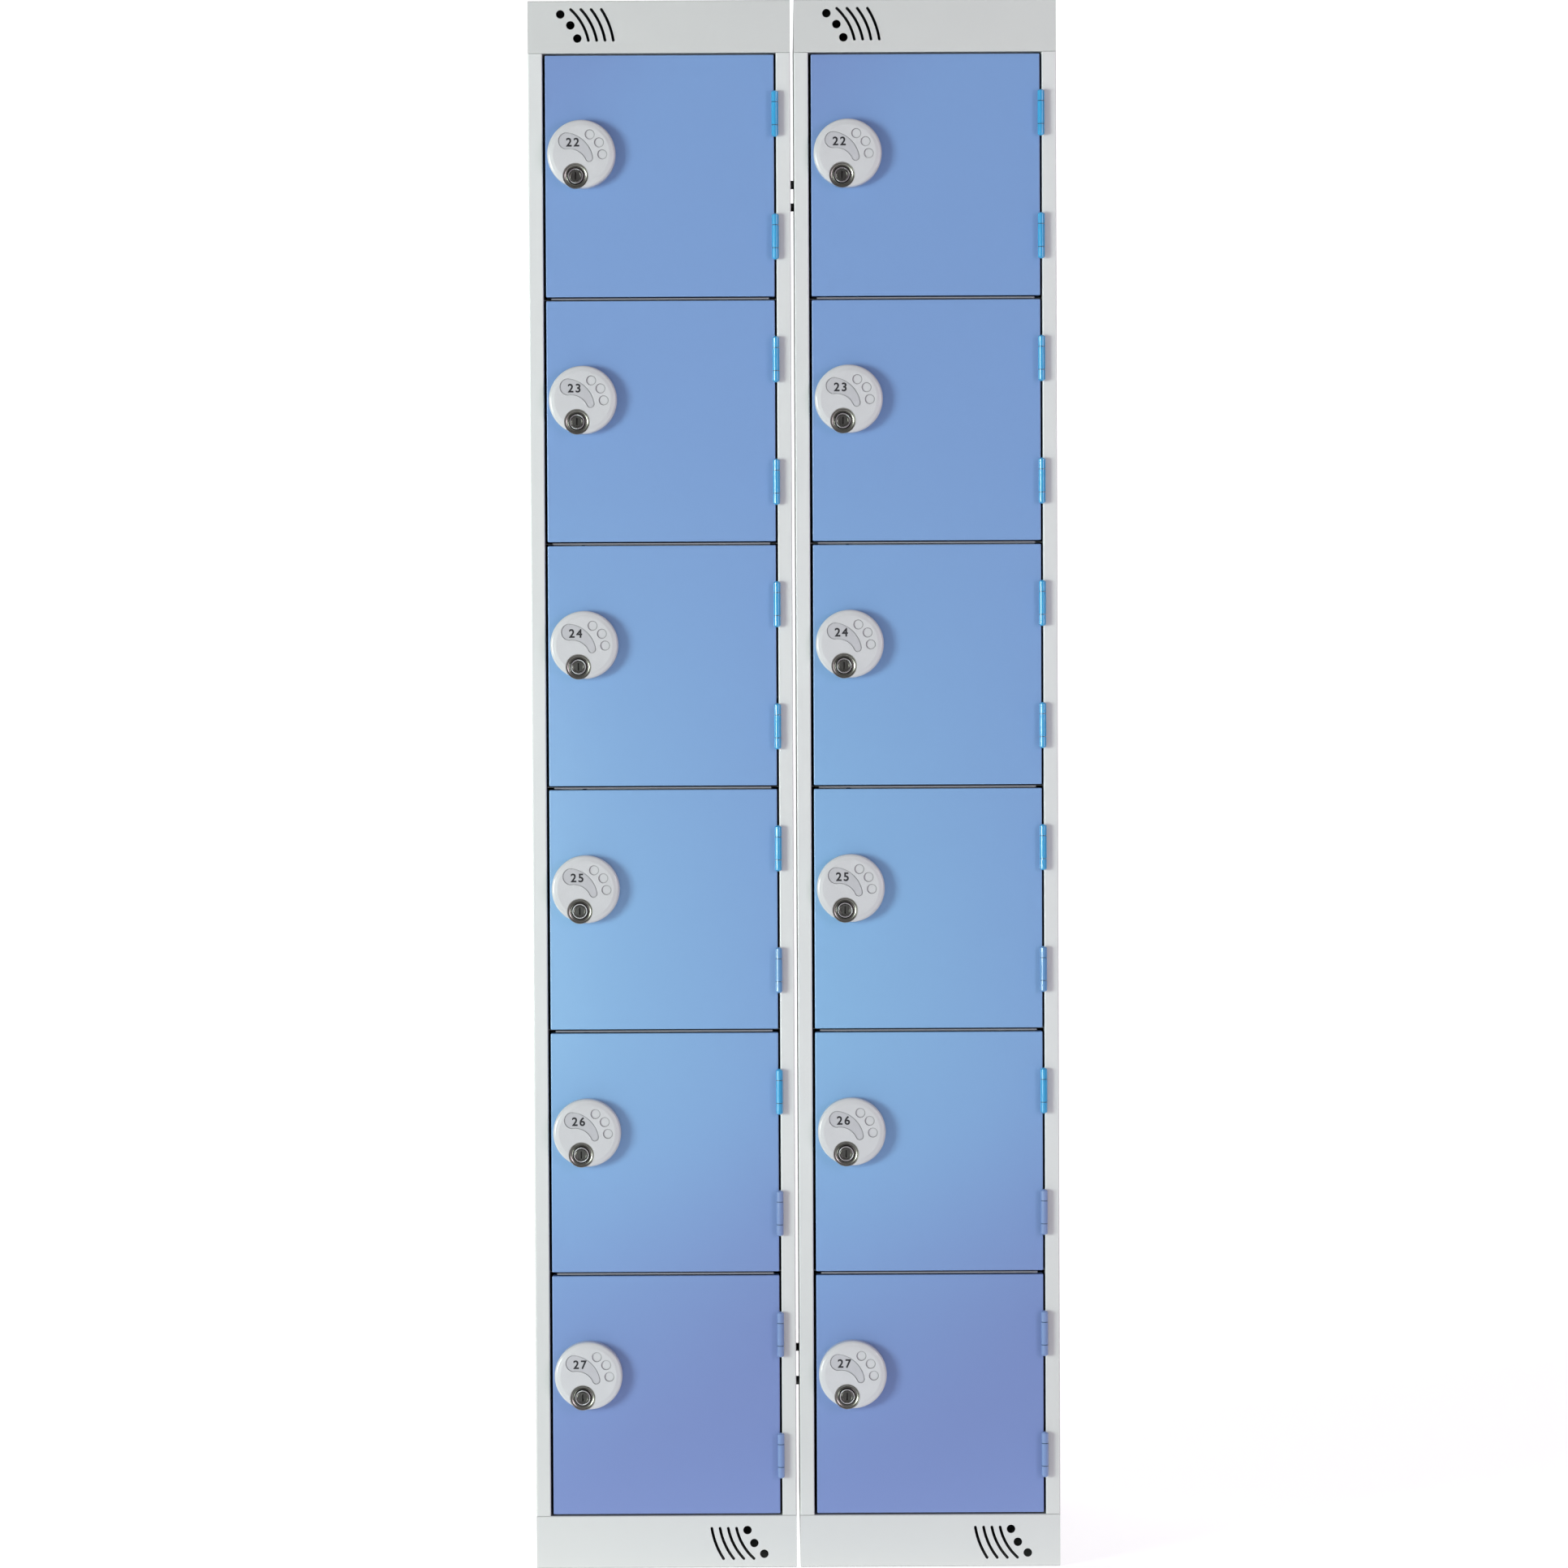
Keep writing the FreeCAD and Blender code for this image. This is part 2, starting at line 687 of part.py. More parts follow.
def make_cover():
    """The round plastic cover: label window, grip dimples and the recess around the lock."""
    body = new_body("cover_body")
    disc = new_sketch(body, "cover_outline", "XZ_Plane")
    draw_circle(disc, 0, 0, D.cover_radius)
    feature(body, "Pad", "cover_disc", disc, Length=D.cover_height)
    doc.recompute()
    rim = [
        f"Edge{number}"
        for number, edge in enumerate(body.Shape.Edges, start=1)
        if near(edge.BoundBox.YMax, -D.cover_height) and isinstance(edge.Curve, Part.Circle)
    ]
    round_edges(body, "cover_rim", rim, D.cover_round)
    recess = new_sketch(body, "cover_lock_outline", "XZ_Plane", D.cover_height)
    draw_circle(recess, -D.lock_left, -D.lock_fall, D.rosette_radius)
    feature(body, "Pocket", "cover_lock_recess", recess, Length=D.cover_height - D.rosette_floor)
    hole = new_sketch(body, "cover_hole_outline", "XZ_Plane", D.cover_height)
    draw_circle(hole, -D.lock_left, -D.lock_fall, D.housing_radius + D.hinge_play)
    feature(body, "Pocket", "cover_lock_hole", hole, Length=D.cover_height + D.plate)
    window = new_sketch(body, "cover_window_outline", "XZ_Plane", D.cover_height)
    big_end = Vector(-D.label_left.value, D.label_rise.value, 0)
    tip_end = Vector(D.label_right.value, -D.label_fall.value, 0)
    arcs = curved_slot(big_end, tip_end, D.label_bow.value, D.label_radius.value, D.label_tip_radius.value)
    draw_arcs(window, arcs)
    feature(body, "Pocket", "cover_window", window, Length=D.cover_recess_depth)
    dimples = new_sketch(body, "cover_dimple_outline", "XZ_Plane", D.cover_height)
    for dimple in range(DIMPLES):
        angle = math.radians((D.dimple_first_angle - D.dimple_pitch_angle * dimple).value)
        draw_circle(
            dimples, D.dimple_circle * math.cos(angle), D.dimple_circle * math.sin(angle), D.dimple_radius
        )
    feature(body, "Pocket", "cover_dimples", dimples, Length=D.dimple_depth)
    return body


def make_housing():
    """The lock's fixed housing, through the door, around y: a collar in front and a threaded barrel."""
    collar = cylinder("housing_collar", ALONG_Y, D.housing_radius, D.housing_front, y=-D.housing_front)
    barrel = cylinder("housing_barrel", ALONG_Y, D.housing_radius, D.housing_back)
    bore = cylinder(
        "housing_bore",
        ALONG_Y,
        D.housing_bore,
        D.housing_front + D.housing_back + D.plate * 2,
        y=-D.housing_front - D.plate,
    )
    return cut("housing", fuse("housing_solid", [collar, barrel]), [bore])


def make_clamp_nut():
    """The round nut that clamps the housing against the inside of the door's face."""
    ring = cylinder("clamp_ring", ALONG_Y, D.nut_radius, D.nut_depth, y=D.plate)
    hole = cylinder("clamp_hole", ALONG_Y, D.housing_radius, D.nut_depth * 3, y=-D.nut_depth)
    return cut("clamp_nut", ring, [hole])


def make_plug():
    """The lock's plug with its keyway, and the shaft that carries the cam."""
    plug = cylinder(
        "plug_round", ALONG_Y, D.plug_radius, D.plug_front + D.cam_front, y=-D.plug_front
    )
    keyway = box(
        "plug_keyway",
        (-D.keyway_width / 2, D.keyway_width / 2),
        (-D.plug_front - D.plate, -D.plug_front + D.keyway_depth),
        (-D.keyway_height / 2, D.keyway_height / 2),
    )
    return cut("plug", plug, [keyway])


def make_cam():
    """The cam, pointing down: a tapered tongue with a round head at the shaft and a round tip."""
    body = new_body("cam")
    outline = new_sketch(body, "cam_outline", "XZ_Plane", -D.cam_front)
    head = D.cam_width.value / 2
    tip = D.cam_tip_width.value / 2
    reach = (D.cam_length - D.cam_tip_width / 2).value
    head_left, head_right = Vector(-head, 0, 0), Vector(head, 0, 0)
    tip_left, tip_right = Vector(-tip, -reach, 0), Vector(tip, -reach, 0)
    outline.addGeometry(Part.Arc(head_right, Vector(0, head, 0), head_left), False)
    outline.addGeometry(Part.LineSegment(head_left, tip_left), False)
    outline.addGeometry(Part.Arc(tip_left, Vector(0, -reach - tip, 0), tip_right), False)
    outline.addGeometry(Part.LineSegment(tip_right, head_right), False)
    for geometry in range(outline.GeometryCount):
        outline.addConstraint(Sketcher.Constraint("Block", geometry))
    feature(body, "Pad", "cam_plate", outline, Length=D.cam_plate, Reversed=True)
    return body


def make_cam_screw():
    start = D.cam_front + D.cam_plate
    return cylinder("cam_screw", ALONG_Y, D.cam_screw_radius, D.cam_screw_height, y=start)


def make_buffer():
    """A rubber buffer on the front of a door stop."""
    return cylinder(
        "buffer",
        ALONG_Y,
        D.buffer_radius,
        D.buffer_height,
        OPENING_LEFT + D.buffer_inset,
        D.stop_depth - D.buffer_height,
        D.row_pitch - D.buffer_drop,
    )


# The fixings that join the columns, drawn around x, with x = 0 in the middle of the gap.


def make_nest_fixing():
    wall_face = D.column_gap / 2 + D.plate
    head = cylinder(
        "nest_head", ALONG_X, D.nest_head_radius, D.nest_head_height, -wall_face - D.nest_head_height
    )
    tail = wall_face + D.nest_nut_height + D.nest_bolt_tail
    shank = cylinder("nest_shank", ALONG_X, D.nest_bolt_radius, wall_face + tail, -wall_face)
    bolt = fuse("nest_bolt", [head, shank])
    disc = cylinder("spacer_disc", ALONG_X, D.nest_spacer_radius, D.column_gap, -D.column_gap / 2)
    spacer_hole = cylinder("spacer_hole", ALONG_X, D.nest_hole_radius, D.column_gap * 2, -D.column_gap)
    spacer = cut("nest_spacer", disc, [spacer_hole])
    hexagon = doc.addObject("Part::Prism", "nut_hexagon")
    hexagon.Polygon = 6
    hexagon.Placement = Placement(Vector(), ALONG_X)
    hexagon.setExpression("Circumradius", (D.nest_nut_flats / math.sqrt(3)).text)
    hexagon.setExpression("Height", D.nest_nut_height.text)
    bind_place(hexagon, x=wall_face)
    nut_hole = cylinder("nut_hole", ALONG_X, D.nest_bolt_radius, D.nest_nut_height * 3, 0)
    nut = cut("nest_nut", hexagon, [nut_hole])
    return [bolt, spacer, nut]


# The assembly.


def column_x(column):
    """The left side of a column, in the frame of the whole nest."""
    if column == COLUMNS[0]:
        return -D.column_width - D.column_gap / 2
    return D.column_gap / 2


FACE_Y = (D.cover_height - D.column_depth) / 2


def row_foot(row):
    """The foot of a row of doors; row 1 is at the top."""
    return D.fascia + D.row_pitch * (ROWS - row)


def hinge_places(row):
    """The two heights of a door's hinges."""
    middle = row_foot(row) + D.row_pitch / 2
    return middle - D.hinge_spacing / 2, middle + D.hinge_spacing / 2


def build():
    """Every sub-part of the nest, as {node name: object}."""
    vents = make_vent_tool()
    carcass = {
        "left_side": make_side("left_sheet", lambda start, end: (sized(start), sized(end))),
        "right_side": make_side(
            "right_sheet", lambda start, end: (D.column_width - end, D.column_width - start)
        ),
        "back": make_back(),
        "base": make_base(vents),
    }
    top, shelf = make_top(vents), make_shelf()
    pan, door_hinge = make_door_pan(), make_door_hinge()
    cover, housing, clamp_nut = make_cover(), make_housing(), make_clamp_nut()
    lock = [make_plug(), make_cam(), make_cam_screw()]
    frame_hinge, pin, buffer = make_frame_hinge(), make_hinge_pin(), make_buffer()
    nest_fixing = make_nest_fixing()

    # what a door and its cover carry, in the frame of the door's row
    half_row, half_spacing = D.row_pitch / 2, D.hinge_spacing / 2
    door_pieces = [pan] + [
        group(f"door_hinge_{level}", [door_hinge], HINGE_X, HINGE_Y, z)
        for level, z in (("low", half_row - half_spacing), ("high", half_row + half_spacing))
    ]
    cover_pieces = [
        group("cover_in_row", [cover], COVER_X, 0, COVER_Z),
        group("housing_in_row", [housing, clamp_nut], LOCK_X, 0, LOCK_Z),
    ]
    lock_pieces = [group("lock_in_row", lock, LOCK_X, 0, LOCK_Z)]

    parts, frame_hinges, pins, buffers = {}, [], [], []
    for column in COLUMNS:
        x = column_x(column)
        for name, piece in carcass.items():
            parts[f"{column}_{name}"] = group(f"{column}_{name}", [piece], x, FACE_Y)
        parts[f"{column}_top"] = group(f"{column}_top", [top], x, FACE_Y, D.column_height)
        for row in range(1, ROWS + 1):
            z = row_foot(row)
            if row < ROWS:
                parts[f"{column}_shelf_{row}"] = group(f"{column}_shelf_{row}", [shelf], x, FACE_Y, z)
            for name, pieces in (("door", door_pieces), ("lock_cover", cover_pieces), ("lock", lock_pieces)):
                node = f"{column}_{name}_{row}"
                parts[node] = group(node, pieces, x, FACE_Y, z)
            buffers.append(group(f"buffer_{column}{row}", [buffer], x, FACE_Y, z))
            for level, height in zip(("low", "high"), hinge_places(row)):
                place = (x + HINGE_X, FACE_Y + HINGE_Y, height)
                frame_hinges.append(group(f"frame_hinge_{column}{row}_{level}", [frame_hinge], *place))
                pins.append(group(f"pin_{column}{row}_{level}", [pin], *place))
    fixings = [
        group(f"nest_fixing_{high}{deep}", nest_fixing, 0, FACE_Y + y, z)
        for high, z in enumerate((D.nest_hole_low, D.nest_hole_low + D.nest_hole_spacing_z))
        for deep, y in enumerate((D.nest_hole_front, D.nest_hole_front + D.nest_hole_spacing_y))
    ]
    parts["frame_hinge_halves"] = group("frame_hinge_halves", frame_hinges)
    parts["hinge_pins"] = group("hinge_pins", pins)
    parts["door_buffers"] = group("door_buffers", buffers)
    parts["nesting_fixings"] = group("nesting_fixings", fixings)
    return parts


def export(parts):
    """Checks every object and sub-part, then writes one STEP file for each sub-part."""
    doc.recompute()
    for item in doc.Objects:
        if "Invalid" in item.State or "Error" in item.State:
            raise RuntimeError(f"{item.Label} failed: {item.State}")
    os.makedirs("parts", exist_ok=True)
    for name, item in parts.items():
        item.Label = name
        shape = item.Shape
        if shape.isNull() or not shape.isValid() or not shape.Solids:
            raise RuntimeError(f"{name} has no valid shape")
        shape.exportStep(f"parts/{name}.step")
        print(f"{name}: {len(shape.Solids)} solids, {shape.Volume / 1000:.2f} cm3")


export(build())
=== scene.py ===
"""The looks of a nest of two school locker columns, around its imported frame."""

import math

import bmesh
import bpy
import numpy
from mathutils import Matrix, Vector
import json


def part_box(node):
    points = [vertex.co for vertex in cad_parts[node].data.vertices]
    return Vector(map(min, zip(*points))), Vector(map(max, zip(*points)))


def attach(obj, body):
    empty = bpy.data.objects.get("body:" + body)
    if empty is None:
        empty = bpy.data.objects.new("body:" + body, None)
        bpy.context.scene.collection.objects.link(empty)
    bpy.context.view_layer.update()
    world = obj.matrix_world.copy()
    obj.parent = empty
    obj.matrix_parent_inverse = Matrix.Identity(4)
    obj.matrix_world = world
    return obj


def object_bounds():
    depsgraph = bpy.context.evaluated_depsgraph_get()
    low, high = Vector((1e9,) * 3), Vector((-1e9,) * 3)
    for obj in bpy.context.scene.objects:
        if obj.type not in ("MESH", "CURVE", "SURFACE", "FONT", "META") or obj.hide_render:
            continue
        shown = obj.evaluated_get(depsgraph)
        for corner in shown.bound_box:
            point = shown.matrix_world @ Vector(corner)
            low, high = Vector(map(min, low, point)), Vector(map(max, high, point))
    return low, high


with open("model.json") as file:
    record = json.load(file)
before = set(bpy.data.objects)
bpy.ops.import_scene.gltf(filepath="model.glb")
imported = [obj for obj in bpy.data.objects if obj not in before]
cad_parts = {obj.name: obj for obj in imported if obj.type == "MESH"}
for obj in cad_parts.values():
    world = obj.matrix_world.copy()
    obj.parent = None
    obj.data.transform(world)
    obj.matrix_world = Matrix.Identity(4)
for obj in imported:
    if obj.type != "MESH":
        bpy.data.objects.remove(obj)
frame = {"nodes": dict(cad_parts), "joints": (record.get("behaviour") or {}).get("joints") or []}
cad_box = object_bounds()

MM = 0.001
TINY = 0.01  # millimetres: points that lie nearer to each other are merged
COLUMNS = ("a", "b")
ROWS = 6
FIRST_NUMBER = 22

# The places that the frame gives: the front of the carcass, the doors' hinges and the locks' axes.
joints = {joint["name"]: joint for joint in frame["joints"]}
high = Vector(cad_box[1])
FACE_Y = joints["lock_a1_turn"]["pos_m"][1]
ROW_PITCH = joints["lock_a1_turn"]["pos_m"][2] - joints["lock_a2_turn"]["pos_m"][2]
COLUMN_PITCH = joints["lock_b1_turn"]["pos_m"][0] - joints["lock_a1_turn"]["pos_m"][0]
HEIGHT = high.z
DOOR_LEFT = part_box("a_door_1")[0][0]
DOOR_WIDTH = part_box("a_door_1")[1][0] - DOOR_LEFT
HINGE_Z = joints["door_a1_hinge"]["pos_m"][2] - ROW_PITCH / 4
HINGE_JOINT = 13.15 * MM


# Small helpers for meshes. Pieces are drawn in millimetres, facing -Y, with y = 0 at the door's face.


def add_piece(name, mesh, material, place, body):
    """Puts a mesh at a place, dresses it and lets it ride on a body."""
    piece = bpy.data.objects.new(name, mesh)
    piece.location = place
    bpy.context.scene.collection.objects.link(piece)
    if not mesh.materials:
        mesh.materials.append(material)
    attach(piece, body)
    return piece


def finish_mesh(bm, name):
    bmesh.ops.recalc_face_normals(bm, faces=bm.faces)
    bmesh.ops.scale(bm, vec=Vector((MM, MM, MM)), verts=bm.verts)
    mesh = bpy.data.meshes.new(name)
    bm.to_mesh(mesh)
    bm.free()
    return mesh


def smooth(mesh, angle=35.0):
    mesh.shade_smooth()
    mesh.set_sharp_from_angle(angle=math.radians(angle))
    return mesh


def revolved_mesh(name, profile, segments=96):
    """A closed ring turned about the depth axis: profile is (radius, height above the door) corners."""
    bm = bmesh.new()
    turns = [math.tau * step / segments for step in range(segments)]
    rings = [
        [bm.verts.new((radius * math.cos(turn), -rise, radius * math.sin(turn))) for turn in turns]
        for radius, rise in profile
    ]
    for one, other in zip(rings, rings[1:] + rings[:1]):
        for step in range(segments):
            following = (step + 1) % segments
            bm.faces.new([one[step], one[following], other[following], other[step]])
    return smooth(finish_mesh(bm, name))


def plate_mesh(name, outline, foot, top, bevel):
    """A flat plate between two heights above the door, its front edge rounded: outline is (x, z) points."""
    bm = bmesh.new()
    back = [bm.verts.new((x, -foot, z)) for x, z in outline]
    front = [bm.verts.new((x, -top, z)) for x, z in outline]
    bm.faces.new(back)
    face = bm.faces.new(front)
    for step in range(len(outline)):
        following = (step + 1) % len(outline)
        bm.faces.new([back[step], back[following], front[following], front[step]])
    bmesh.ops.bevel(
        bm,
        geom=list(face.edges),
        offset=bevel,
        segments=3,
        profile=0.5,
        affect="EDGES",
        clamp_overlap=True,
    )
    bmesh.ops.remove_doubles(bm, verts=bm.verts, dist=TINY)
    bmesh.ops.dissolve_degenerate(bm, edges=bm.edges, dist=TINY)
    return smooth(finish_mesh(bm, name))


def arc_points(start, middle, end, steps):
    """Points along the circle through three places, from start up to but not including end."""
    a, b, c = (Vector((p[0], p[1], 0)) for p in (start, middle, end))
    ab, ac = b - a, c - a
    normal = ab.cross(ac)
    to_centre = (ac.length_squared * normal.cross(ab).xyz + ab.length_squared * ac.cross(normal).xyz) / (
        2 * normal.length_squared
    )
    centre = a + to_centre
    spoke = a - centre
    across = normal.normalized().cross(spoke)
    reach = c - centre
    sweep = math.atan2(reach.dot(across), reach.dot(spoke)) % math.tau
    points = []
    for step in range(steps):
        turn = sweep * step / steps
        points.append(centre + spoke * math.cos(turn) + across * math.sin(turn))
    return [(p.x, p.y) for p in points]


# Materials.

DOOR_BLUE = (0.186, 0.327, 0.606, 1)
# The next two blues are painted light: a painted pool of light and a painted violet shade on the doors.
DOOR_BLUE_PAINTED_GLOW = (0.224, 0.442, 0.698, 1)
DOOR_BLUE_PAINTED_SHADE = (0.168, 0.242, 0.500, 1)
# The two hinge blues are a lit and a shaded copy of one paint: painted light that changes with height.
HINGE_LIT_BLUE = (0.030, 0.330, 0.620, 1)
HINGE_SHADED_BLUE = (0.170, 0.265, 0.490, 1)
FRAME_GREYS = ((0.605, 0.625, 0.605, 1), (0.58, 0.60, 0.585, 1))
# Painted light: a lighter grey for the side sheets, as if more light falls on them than on the fascias.
LIT_SIDE_GREYS = ((0.69, 0.715, 0.70, 1), (0.665, 0.69, 0.675, 1))

# The spot welds: the lowest row's height, the pitch along the depth, and where a dent's edge starts and ends.
WELD_HEIGHT = 54 * MM
WELD_PITCH = 95 * MM
WELD_EDGE = (2.2 * MM, 3.2 * MM)


def new_material(name):
    material = bpy.data.materials.new(name)
    material.use_nodes = True
    tree = material.node_tree
    shader = tree.nodes["Principled BSDF"]
    return material, tree, shader


def add_node(tree, kind, settings=(), **inputs):
    """A shader node. Settings are (attribute, value) pairs; an input is a value or another node's output."""
    item = tree.nodes.new(kind)
    for attribute, value in settings:
        setattr(item, attribute, value)
    for key, value in inputs.items():
        socket = item.inputs[key.replace("_", " ")]
        if isinstance(value, bpy.types.NodeSocket):
            tree.links.new(value, socket)
        else:
            socket.default_value = value
    return item


def calculate(tree, operation, *values):
    item = tree.nodes.new("ShaderNodeMath")
    item.operation = operation
    for socket, value in zip(item.inputs, values):
        if isinstance(value, bpy.types.NodeSocket):
            tree.links.new(value, socket)
        else:
            socket.default_value = value
    return item.outputs[0]


def object_place(tree):
    return tree.nodes.new("ShaderNodeTexCoord").outputs["Object"]


def noise(tree, place, scale, detail=2.0):
    return add_node(tree, "ShaderNodeTexNoise", Vector=place, Scale=scale, Detail=detail).outputs[0]


def split_axes(tree, vector):
    """A separate output for each of a vector's axes."""
    return add_node(tree, "ShaderNodeSeparateXYZ", Vector=vector).outputs


def surface_facing(tree):
    """The axes of the surface's own normal."""
    return split_axes(tree, tree.nodes["Texture Coordinate"].outputs["Normal"])


def map_range(tree, value, start, end, low_end, high_end, interpolation):
    return add_node(
        tree,
        "ShaderNodeMapRange",
        (("interpolation_type", interpolation),),
        Value=value,
        From_Min=start,
        From_Max=end,
        To_Min=low_end,
        To_Max=high_end,
    ).outputs[0]


def smooth_step(tree, value, start, end, low_end, high_end):
    return map_range(tree, value, start, end, low_end, high_end, "SMOOTHSTEP")


def spread(tree, value, low_end, high_end, start=0.3, end=0.7):
    """Maps a noise value onto a range."""
    return map_range(tree, value, start, end, low_end, high_end, "LINEAR")


def mix_colour(tree, factor, one, other):
    item = tree.nodes.new("ShaderNodeMix")
    item.data_type = "RGBA"
    for socket, value in ((item.inputs[0], factor), (item.inputs[6], one), (item.inputs[7], other)):
        if isinstance(value, bpy.types.NodeSocket):
            tree.links.new(value, socket)
        else:
            socket.default_value = value
    return item.outputs[2]


def bump(tree, height, distance, normal=None, strength=1.0):
    item = add_node(tree, "ShaderNodeBump", Height=height, Distance=distance, Strength=strength)
    if normal is not None:
        tree.links.new(normal, item.inputs["Normal"])
    return item.outputs[0]


def to_nearest(tree, value, start, pitch):
    """The signed distance from a coordinate to the nearest of an endless row of places."""
    wrapped = calculate(tree, "FLOORED_MODULO", calculate(tree, "SUBTRACT", value, start - pitch / 2), pitch)
    return calculate(tree, "SUBTRACT", wrapped, pitch / 2)


def distance(tree, one, other):
    squares = [calculate(tree, "POWER", value, 2) for value in (one, other)]
    return calculate(tree, "SQRT", calculate(tree, "ADD", *squares))


def paint(name, colour, shade, roughness, peel=0.00003, coat=0.4):
    """Powder coat: a faint drift of shade over the sheet, an orange peel and a fine grain."""
    material, tree, shader = new_material(name)
    place = object_place(tree)
    drift = spread(tree, noise(tree, place, 2.5, 3.0), 0.0, 1.0)
    base = mix_colour(tree, drift, colour, shade)
    tree.links.new(base, shader.inputs["Base Color"])
    gloss = spread(tree, noise(tree, place, 60.0, 3.0), roughness - 0.03, roughness + 0.03)
    tree.links.new(gloss, shader.inputs["Roughness"])
    grain = bump(tree, noise(tree, place, 2200.0, 1.0), peel / 4)
    skin = bump(tree, noise(tree, place, 420.0, 2.0), peel, grain)
    tree.links.new(skin, shader.inputs["Normal"])
    shader.inputs["Coat Weight"].default_value = coat
    shader.inputs["Coat Roughness"].default_value = 0.10
    return material, tree, shader, place, base, skin


def make_shelf_paint():
    """The carcass's powder coat, with painted shade darkening the shelves' noses between the doors."""
    material, tree, shader, place, base, _ = paint("shelf_paint", *FRAME_GREYS, 0.42)
    axes = split_axes(tree, place)
    # Painted shade: the noses' fronts, within 3 mm of the doors' face, are darkened.
    nose = calculate(tree, "LESS_THAN", axes["Y"], FACE_Y + 3.0 * MM)
    tree.links.new(mix_colour(tree, nose, base, (0.27, 0.28, 0.30, 1)), shader.inputs["Base Color"])
    return material


def make_frame_paint(name, greys):
    """Light grey powder coat, with the faint dents of the spot welds on the side walls. The sides carry a
    painted highlight: their lighter grey turns into the fascias' towards the foot."""
    material, tree, shader, place, base, skin = paint(name, *greys, 0.42)
    axes = split_axes(tree, place)
    if greys is LIT_SIDE_GREYS:
        # Painted light: the sides are lighter up the locker, fading into the fascias' grey at the foot.
        foot = smooth_step(tree, axes["Z"], 0.08, 0.62, 1.0, 0.0)
        tree.links.new(mix_colour(tree, foot, base, FRAME_GREYS[0]), shader.inputs["Base Color"])
    facing = surface_facing(tree)
    rise = to_nearest(tree, axes["Z"], WELD_HEIGHT, ROW_PITCH)
    run = to_nearest(tree, axes["Y"], 0.0, WELD_PITCH)
    dent = smooth_step(tree, distance(tree, rise, run), *WELD_EDGE, 0.0, 1.0)
    sideways = calculate(tree, "GREATER_THAN", calculate(tree, "ABSOLUTE", facing["X"]), 0.9)
    sunk = calculate(tree, "MULTIPLY", sideways, calculate(tree, "SUBTRACT", 1.0, dent))
    level = calculate(tree, "SUBTRACT", 1.0, sunk)
    tree.links.new(bump(tree, level, 0.00012, skin, 0.6), shader.inputs["Normal"])
    return material


def hinge_colour(tree, axes):
    """The hinges' gloss paint with painted light: lit cyan higher up, and a painted shade nearer to the doors'
    colour at the foot of the locker and, in part, around 0.69 m; dark in the joints.
    """
    height = axes["Z"]
    low_part = smooth_step(tree, height, 0.46, 0.50, 1.0, 0.0)
    fourth = smooth_step(
        tree, calculate(tree, "ABSOLUTE", calculate(tree, "SUBTRACT", height, 0.69)), 0.05, 0.06, 0.6, 0.0
    )
    shade = mix_colour(tree, calculate(tree, "MAXIMUM", low_part, fourth), HINGE_LIT_BLUE, HINGE_SHADED_BLUE)
    from_middle = calculate(tree, "ABSOLUTE", to_nearest(tree, height, HINGE_Z, ROW_PITCH / 2))
    from_joint = calculate(tree, "ABSOLUTE", calculate(tree, "SUBTRACT", from_middle, HINGE_JOINT))
    joint = smooth_step(tree, from_joint, 0.3 * MM, 0.7 * MM, 0.85, 0.0)
    return mix_colour(tree, joint, shade, (0.01, 0.05, 0.12, 1))


def door_colour(tree, axes, base):
    """The doors' colour with painted light: a painted pool of light at the left of the middle rows, and painted
    violet shade towards the foot and at the top left.
    """
    column = calculate(tree, "GREATER_THAN", axes["X"], 0.0)
    left = calculate(tree, "MULTIPLY_ADD", column, -COLUMN_PITCH, axes["X"])
    across = calculate(tree, "MULTIPLY", calculate(tree, "SUBTRACT", left, DOOR_LEFT), 1 / DOOR_WIDTH)
    height = axes["Z"]
    rising = smooth_step(tree, height, 0.26, 0.64, 0.0, 1.0)
    falling = smooth_step(tree, height, 0.62, 1.45, 1.0, 0.0)
    side = calculate(tree, "MULTIPLY_ADD", across, -0.72, 1.0)
    painted_glow = calculate(tree, "MULTIPLY", calculate(tree, "MULTIPLY", rising, falling), side)
    lean = calculate(tree, "MULTIPLY_ADD", across, -0.19, height)
    foot = smooth_step(tree, lean, 0.02, 0.41, 1.0, 0.0)
    corner = calculate(tree, "MULTIPLY_ADD", across, -0.30, height)
    head = smooth_step(tree, corner, 1.52, 1.74, 0.0, 0.45)
    painted_violet_shade = calculate(tree, "MAXIMUM", foot, head)
    return mix_colour(tree, painted_violet_shade, mix_colour(tree, painted_glow, base, DOOR_BLUE_PAINTED_GLOW), DOOR_BLUE_PAINTED_SHADE)


def make_door_paint():
    """Pale blue powder coat with a painted pool of light and painted shade; the knuckles, which stand in front
    of the face, have the hinges' gloss paint and its painted light.
    """
    material, tree, shader, place, base, _ = paint("door_paint", DOOR_BLUE, DOOR_BLUE, 0.34)
    axes = split_axes(tree, place)
    in_front = calculate(tree, "LESS_THAN", axes["Y"], FACE_Y - 0.2 * MM)
    colour = mix_colour(tree, in_front, door_colour(tree, axes, base), hinge_colour(tree, axes))
    tree.links.new(colour, shader.inputs["Base Color"])
    gloss = shader.inputs["Roughness"].links[0].from_socket
    tree.links.new(calculate(tree, "MULTIPLY_ADD", in_front, -0.20, gloss), shader.inputs["Roughness"])
    return material


def make_hinge_paint():
    material, tree, shader, place, _, _ = paint("hinge_paint", HINGE_LIT_BLUE, HINGE_LIT_BLUE, 0.14, 0.00001, 0.9)
    axes = split_axes(tree, place)
    # The colour carries painted light: lit cyan higher up, painted shade lower down.
    tree.links.new(hinge_colour(tree, axes), shader.inputs["Base Color"])
    return material


